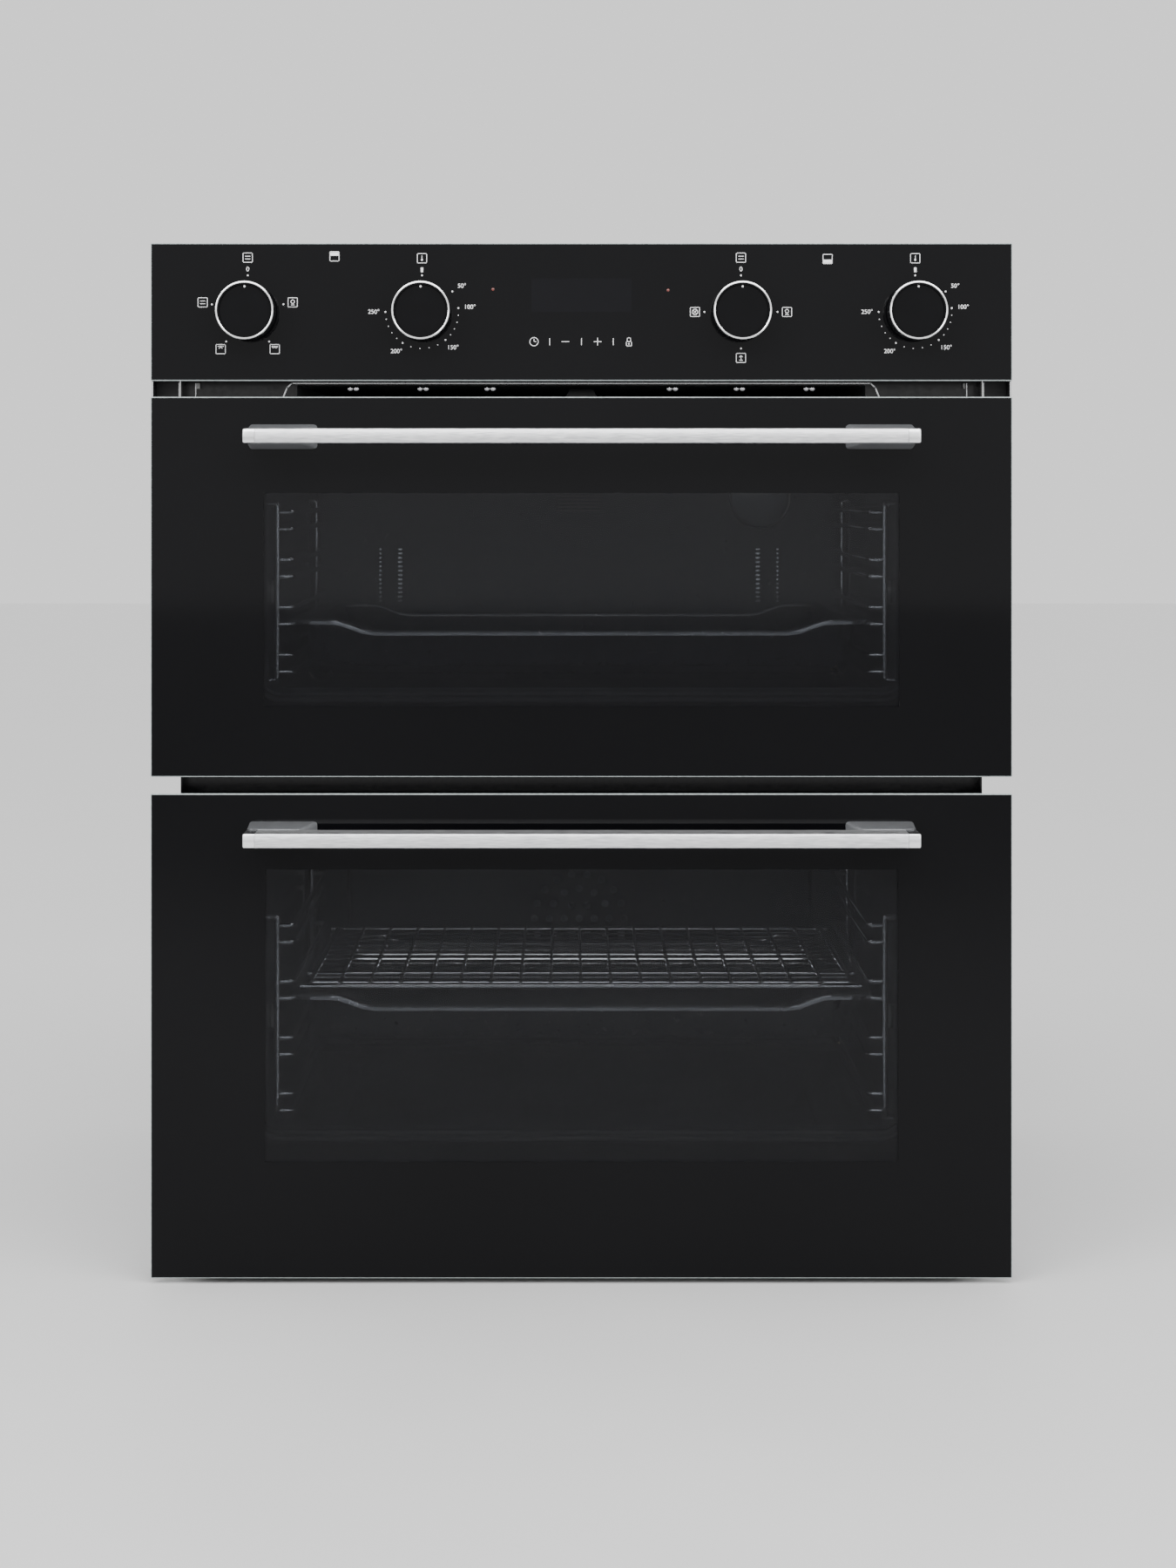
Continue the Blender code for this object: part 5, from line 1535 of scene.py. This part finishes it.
# %% Screws
def screw_master(radius):
    """A low round head with a cross recess, its axis along Z and its underside at zero."""
    height = radius * 0.42
    dome = [(0, -0.0004), (radius * 0.96, -0.0004), (radius, height * 0.25), (radius * 0.86, height * 0.72)]
    dome += [(radius * 0.5, height * 0.96), (0, height)]
    head = turned(dome, (0, 0, 0), (0, 0, 1), 20)
    long, short = radius * 0.52, radius * 0.09
    for x, y in ((long, short), (short, long)):
        head = cut_out(head, block((-x, -y, height * 0.42), (x, y, height * 2)))
    mesh = bpy.data.meshes.new("screw")
    head.to_mesh(mesh)
    head.free()
    return mesh


SMALL, MEDIUM, LARGE = 0.0020, 0.0030, 0.0036
SCREWS = {radius: screw_master(radius) for radius in (SMALL, MEDIUM, LARGE)}


def screws(bm, places, axis, radius=LARGE):
    """Screw heads at the places, facing along the axis, each turned a little differently."""
    turn = Vector(axis).to_track_quat("Z", "Y").to_matrix().to_4x4()
    for i, place in enumerate(places):
        head = SCREWS[radius].copy()
        head.transform(Matrix.Translation(place) @ turn @ Matrix.Rotation(0.7 * i, 4, "Z"))
        bm.from_mesh(head)
        bpy.data.meshes.remove(head)
    return bm


# %% Small parts in the upper gap
gap_z = (gap_low + gap_high) / 2
inside = bmesh.new()
for x in (0.0640, 0.1110, 0.1600):
    for side in (-1, 1):
        places = [(side * x + dx, frame_y - 0.0002, gap_z + 0.0014) for dx in (-0.0021, 0.0021)]
        screws(inside, places, FORWARD, SMALL)
piece("outlet_screws", inside, chrome, "oven")

tab_y = corners("control_carrier")[1].y - 0.0010
chassis_x = corners("base_plate")[1].x
CUT_EDGE = 0.0006
edges = bmesh.new()
places = [(FACE_X - 0.0008, FACE_Y + 0.0050)]
places += [(chassis_x + 0.0008, tab_y - 0.0004), (chassis_x - 0.0085, lip_y)]
for side in (-1, 1):
    for x, y in places:
        stroke(edges, (side * x, gap_low - 0.0020), (side * x, gap_high - CUT_EDGE), CUT_EDGE, y, CUT_EDGE)
piece("tab_edges", edges, bare_steel, "oven")

clips = bmesh.new()
for side, width in ((-1, 0.0026), (1, 0.0016)):
    x = side * (chassis_x - 0.0105)
    clip_low = (x - width / 2, frame_y - 0.0040, gap_high - 0.0044)
    block(clip_low, (x + width / 2, frame_y, gap_high - 0.0004), 0.0005, 2, into=clips)
piece("return_clips", clips, white_nylon, "oven")

# %% [markdown]
# With a door open, its inside shows: the frame's screws, the clips that hold the inner glass, and the
# hinge arms with their riveted pins.


# %% Door hardware
def door_hardware(door):
    low, high = corners(f"{door}_door_frame")
    pane_low, pane_high = corners(f"{door}_door_inner_glass")
    bm = bmesh.new()
    levels = (low.z + 0.045, high.z - 0.014)
    places = [(x, high.y, z) for x in (low.x + 0.007, high.x - 0.007) for z in levels]
    screws(bm, places, BACKWARD, MEDIUM)
    piece(f"{door}_door_screws", bm, zinc, f"{door}_door")
    clips = bmesh.new()
    for x in (pane_low.x - 0.0030, pane_high.x - 0.0030):
        for z in (pane_low.z + 0.020, pane_high.z - 0.032):
            clip_high = (x + 0.0060, pane_high.y + 0.0008, z + 0.012)
            block((x, high.y + 0.0001, z), clip_high, 0.0006, 2, into=clips)
    piece(f"{door}_pane_clips", clips, black_plastic, f"{door}_door")


ARM_HALF = 0.003
ARM_NOSE = 0.005
PIN = 0.003
PIN_FROM_EDGE = 0.009
PIN_BEHIND_FACE = 0.012


def rod_profile(radius, half, edge):
    """The profile of a short rod with chamfered ends."""
    rear = [(0, -half), (radius - edge, -half), (radius, edge - half)]
    return rear + [(r, -d) for r, d in reversed(rear)]


def hinge_arm(oven, side_name):
    """A stamped steel arm with a rounded nose, and the pin through its eye."""
    node = f"{oven}_hinge_arm_{side_name}"
    low, high = corners(node)
    x = (low.x + high.x) / 2
    pivot_z = corners(f"{oven}_door_glass")[0].z + PIN_FROM_EDGE
    pivot_y = FACE_Y + PIN_BEHIND_FACE
    pivot = Vector((x, pivot_y, pivot_z))
    arm = turned(rod_profile(ARM_NOSE, ARM_HALF, 0.0004), pivot, (1, 0, 0), 28)
    arm_low = pivot - Vector((ARM_HALF, 0, ARM_NOSE))
    block(arm_low, (x + ARM_HALF, high.y, pivot_z + ARM_NOSE), 0.0005, 2, into=arm)
    hook_low = (x - ARM_HALF, frame_y + 0.0013, low.z)
    block(hook_low, (x + ARM_HALF, frame_y + 0.0093, pivot_z), 0.0005, 2, into=arm)
    turned(rod_profile(PIN, (high.x - low.x) / 2, 0.0006), pivot, (1, 0, 0), 24, into=arm)
    piece(f"{oven}_arm_{side_name}", arm, zinc, "oven", [node])


for door in OVENS:
    door_hardware(door)
    hinge_arm(door, "left")
    hinge_arm(door, "right")

# %% [markdown]
# ## Body panels
# The outer panels are galvanised sheet. Pressed beads stiffen them, slots let the heat out, and
# self-tapping screws hold them. A bead is a round bar with round ends, flattened and half sunk into the
# sheet, so that only its low crown stands out. Slots are real holes.


# %% Side panels
SHEET_EDGE = 0.0003
BEAD_ROOT = 0.0008
BEAD_WIDTH = 0.012
SIDE_CROWN, TOP_CROWN, REAR_CROWN, BASE_CROWN = 0.0034, 0.0030, 0.0016, 0.0010
CUT_PAST = 0.002
SLOT_REACH, SLOT_WIDTH, SLOT_HEIGHT = 0.003, 0.005, 0.030


def bead(bm, low, high, axis):
    """A pressed rib: a round bar flattened along an axis, with its middle in the sheet's face."""
    low, high = Vector(low), Vector(high)
    others = [i for i in range(3) if i != axis]
    radius = min(high[i] - low[i] for i in others) / 2
    face = low[axis]
    proud = high[axis] - face
    rod_low, rod_high = low.copy(), high.copy()
    rod_low[axis] = face - radius
    rod_high[axis] = face + radius
    rod = block(rod_low, rod_high, radius * 0.98, 5)
    for vert in rod.verts:
        rise = (vert.co[axis] - face) / radius
        vert.co[axis] = face + (proud * abs(rise) if rise * proud > 0 else BEAD_ROOT * rise)
    merged(bm, rod)


def side_sheet(name, side):
    low, high = corners(name)
    outer = high.x if side > 0 else low.x
    depth, height = high.y - low.y, high.z - low.z
    slots = bmesh.new()
    for row in range(2):
        for i in range(9):
            y = high.y - 0.050 - i * 0.013
            z = high.z - 0.060 - row * 0.045
            slot_low = (outer - SLOT_REACH, y, z)
            block(slot_low, (outer + SLOT_REACH, y + SLOT_WIDTH, z + SLOT_HEIGHT), into=slots)
    sheet = cut_out(block(low, high, SHEET_EDGE, 1), slots)
    crown = outer + side * SIDE_CROWN
    for share in (0.16, 0.50, 0.84):
        y = low.y + depth * share - BEAD_WIDTH / 2
        bead(sheet, (outer, y, low.z + 0.060), (crown, y + BEAD_WIDTH, low.z + height * 0.74), 0)
    for z, rear_y in ((low.z + 0.026, high.y - 0.060), (low.z + height * 0.79, high.y - 0.200)):
        bead(sheet, (outer, low.y + 0.060, z), (crown, rear_y, z + BEAD_WIDTH), 0)
    piece(f"{name}_sheet", sheet, galvanised, "oven", [name])
    heads = bmesh.new()
    levels = [low.z + height * share for share in (0.03, 0.35, 0.66, 0.97)]
    places = [(outer, y, z) for y in (low.y + 0.010, high.y - 0.010) for z in levels]
    screws(heads, places, (side, 0, 0))
    piece(f"{name}_screws", heads, zinc, "oven")


for side_name, side in SIDES:
    side_sheet(f"{side_name}_side_panel", side)

# %% Top cover
low, high = corners("top_cover")
slots = bmesh.new()
TOP_SLOT_HALF, TOP_SLOT_LENGTH = 0.003, 0.045
for i in range(16):
    x = -0.150 + i * 0.020
    for row in range(2):
        y = high.y - 0.080 - row * 0.060
        slot_low = (x - TOP_SLOT_HALF, y, low.z - CUT_PAST)
        block(slot_low, (x + TOP_SLOT_HALF, y + TOP_SLOT_LENGTH, high.z + CUT_PAST), into=slots)
cover = cut_out(block(low, high, SHEET_EDGE, 1), slots)
for x in (-0.215, 0.205):
    bead(cover, (x, low.y + 0.050, high.z), (x + 0.010, high.y - 0.050, high.z + TOP_CROWN), 2)
for y in (low.y + 0.090, low.y + 0.200):
    bead(cover, (-0.170, y, high.z), (0.170, y + 0.010, high.z + TOP_CROWN), 2)
piece("top_sheet", cover, galvanised, "oven", ["top_cover"])
heads = bmesh.new()
places = [(x, y, high.z) for x in (-0.268, -0.09, 0.09, 0.268) for y in (low.y + 0.014, high.y - 0.009)]
piece("top_screws", screws(heads, places, (0, 0, 1)), zinc, "oven")

# %% [markdown]
# The back has its own air slots, each under a small pressed hood that keeps dripping water out, two
# pressed rings over the fan motor, and the opening with the terminal block. Its beads and hoods are
# lower than the sides' and the top's, because the cabinet's wall is close behind them.

# %% Rear panel
low, high = corners("rear_panel")
block_low, block_high = corners("terminal_block")
AIR_SLOTS = 6
AIR_SLOT_TOP, AIR_SLOT_PITCH, AIR_SLOT_HALF = 0.677, 0.014, 0.080
SLOT_HALF_HEIGHT = 0.0025
HOOD_HALF = 0.084
MARGIN = 0.0006
slots = bmesh.new()
for i in range(AIR_SLOTS):
    z = AIR_SLOT_TOP - i * AIR_SLOT_PITCH
    slot_low = (-AIR_SLOT_HALF, low.y - CUT_PAST, z - SLOT_HALF_HEIGHT)
    block(slot_low, (AIR_SLOT_HALF, high.y + CUT_PAST, z + SLOT_HALF_HEIGHT), into=slots)
opening_low = (block_low.x - MARGIN, low.y - CUT_PAST, block_low.z - MARGIN)
block(opening_low, (block_high.x + MARGIN, high.y + CUT_PAST, block_high.z + MARGIN), into=slots)
ROUND_HOLE = 0.009
for x in (-0.20, 0.20):
    for z in (0.30, 0.48):
        disc((x, low.y, z), FORWARD, ROUND_HOLE, 0.004, 24, into=slots)
sheet = cut_out(block(low, high, SHEET_EDGE, 1), slots)
for i in range(AIR_SLOTS):
    z = AIR_SLOT_TOP + SLOT_HALF_HEIGHT - i * AIR_SLOT_PITCH
    hood_low = (-HOOD_HALF, high.y - SHEET_EDGE, z)
    block(hood_low, (HOOD_HALF, high.y + REAR_CROWN, z + 0.0030), 0.0011, 3, into=sheet)
for x in (-0.255, 0.247):
    bead(sheet, (x, high.y, 0.150), (x + 0.008, high.y + REAR_CROWN, 0.560), 1)
RING_SECTION = ((-0.003, -0.0006), (0.003, -0.0006), (0.0016, 0.0010), (-0.0016, 0.0010))
for radius in (0.045, 0.060):
    ring = [(radius + across, out) for across, out in RING_SECTION]
    turned(ring, (0, high.y, FAN_Z), BACKWARD, 64, into=sheet)
for z in (0.330, 0.430, 0.530):
    bead(sheet, (-0.150, high.y, z), (0.150, high.y + REAR_CROWN, z + 0.008), 1)
piece("rear_sheet", sheet, galvanised, "oven", ["rear_panel"])
heads = bmesh.new()
places = [(x, high.y, z) for x in (-0.270, -0.09, 0.09, 0.270) for z in (low.z + 0.008, high.z - 0.008)]
places += [(x, high.y, z) for x in (-0.270, 0.270) for z in (0.20, 0.36, 0.52)]
piece("rear_screws", screws(heads, places, BACKWARD), zinc, "oven")

# %% Terminal block details
rows = bmesh.new()
slot_y = block_high.y
WAY_PITCH = 0.0162
for i in range(5):
    for drop in (0.012, 0.024):
        screws(rows, [(block_low.x + 0.012 + i * WAY_PITCH, slot_y, block_high.z - drop)], BACKWARD)
piece("terminal_screws", rows, brass, "oven")
ribs = bmesh.new()
for i in range(6):
    x = block_low.x + 0.0039 + i * WAY_PITCH
    rib_low = (x - 0.0010, slot_y - 0.0010, block_high.z - 0.034)
    block(rib_low, (x + 0.0010, high.y + 0.0004, block_high.z - 0.003), 0.0004, 1, into=ribs)
gland = [(0.0064, -0.0010), (0.0100, -0.0010), (0.0100, 0.0003), (0.0088, 0.0006), (0.0064, 0.0006)]
hole_z = block_low.z - MARGIN + 0.020
turned(gland, ((block_low.x + block_high.x) / 2, slot_y, hole_z), BACKWARD, 32, into=ribs)
piece("terminal_ribs", ribs, black_plastic, "oven")

# %% Base plate
low, high = corners("base_plate")
base = block(low, high, SHEET_EDGE, 1)
for y in (low.y + 0.080, high.y - 0.090):
    bead(base, (-0.230, y, high.z), (0.230, y + BEAD_WIDTH, high.z + BASE_CROWN), 2)
piece("base_sheet", base, galvanised, "oven", ["base_plate"])

# %% [markdown]
# ### Insulation
# The glass-wool blanket is soft, so its edges are round and its surface is lumpy. The CAD's blanket is
# copied and merged, and a voxel remesh gives it even faces. Then each point moves along its normal by a
# smooth noise, mostly inwards, so that the blanket stays in its own space.

# %% Wool blanket
WOOL_VOXEL = 0.0070
COARSE, FINE = 45, 130
SINK, LUMP = 0.0012, 0.0014
source = bpy.data.objects["insulation_wrap"]
bm = bmesh.new()
bm.from_mesh(source.data)
bmesh.ops.remove_doubles(bm, verts=bm.verts, dist=1e-5)
mesh = bpy.data.meshes.new("passing")
bm.to_mesh(mesh)
bm.free()
holder = bpy.data.objects.new("passing", mesh)
bpy.context.scene.collection.objects.link(holder)
remesh = holder.modifiers.new("even", "REMESH")
remesh.mode = "VOXEL"
remesh.voxel_size = WOOL_VOXEL
blanket = bmesh.new()
blanket.from_object(holder, bpy.context.evaluated_depsgraph_get())
bpy.data.objects.remove(holder)
bpy.data.meshes.remove(mesh)
axes = {"use_axis_x": True, "use_axis_y": True, "use_axis_z": True}
bmesh.ops.smooth_vert(blanket, verts=blanket.verts, factor=0.5, **axes)
blanket.normal_update()
for vert in blanket.verts:
    lump = noise.noise(vert.co * COARSE) + 0.5 * noise.noise(vert.co * FINE)
    vert.co -= vert.normal * (SINK + LUMP * lump)
piece("wool_blanket", blanket, wool, "oven", ["insulation_wrap"], 180)

# %% [markdown]
# ## Finishes on the CAD's own pieces
# The pieces below keep their CAD shape, which is already right for them. Each gets the finish of its
# material.

# %% Finishes for kept pieces
KEPT = {
    "front_frame": frame_enamel,
    "control_carrier": powder,
    "upper_door_frame": powder,
    "lower_door_frame": powder,
    "cooling_duct": galvanised,
    "blower_impeller": galvanised,
    "blower_motor": zinc,
    "fan_motor": zinc,
    "fan_impeller": galvanised,
    "timer_module": black_plastic,
    "terminal_block": black_plastic,
}
for name in DIALS:
    KEPT[f"{name}_switch"] = phenolic
    KEPT[f"{name}_spindle"] = zinc
for node, material in KEPT.items():
    for slot in bpy.data.objects[node].material_slots:
        slot.material = material
    print(node, "->", material.name)
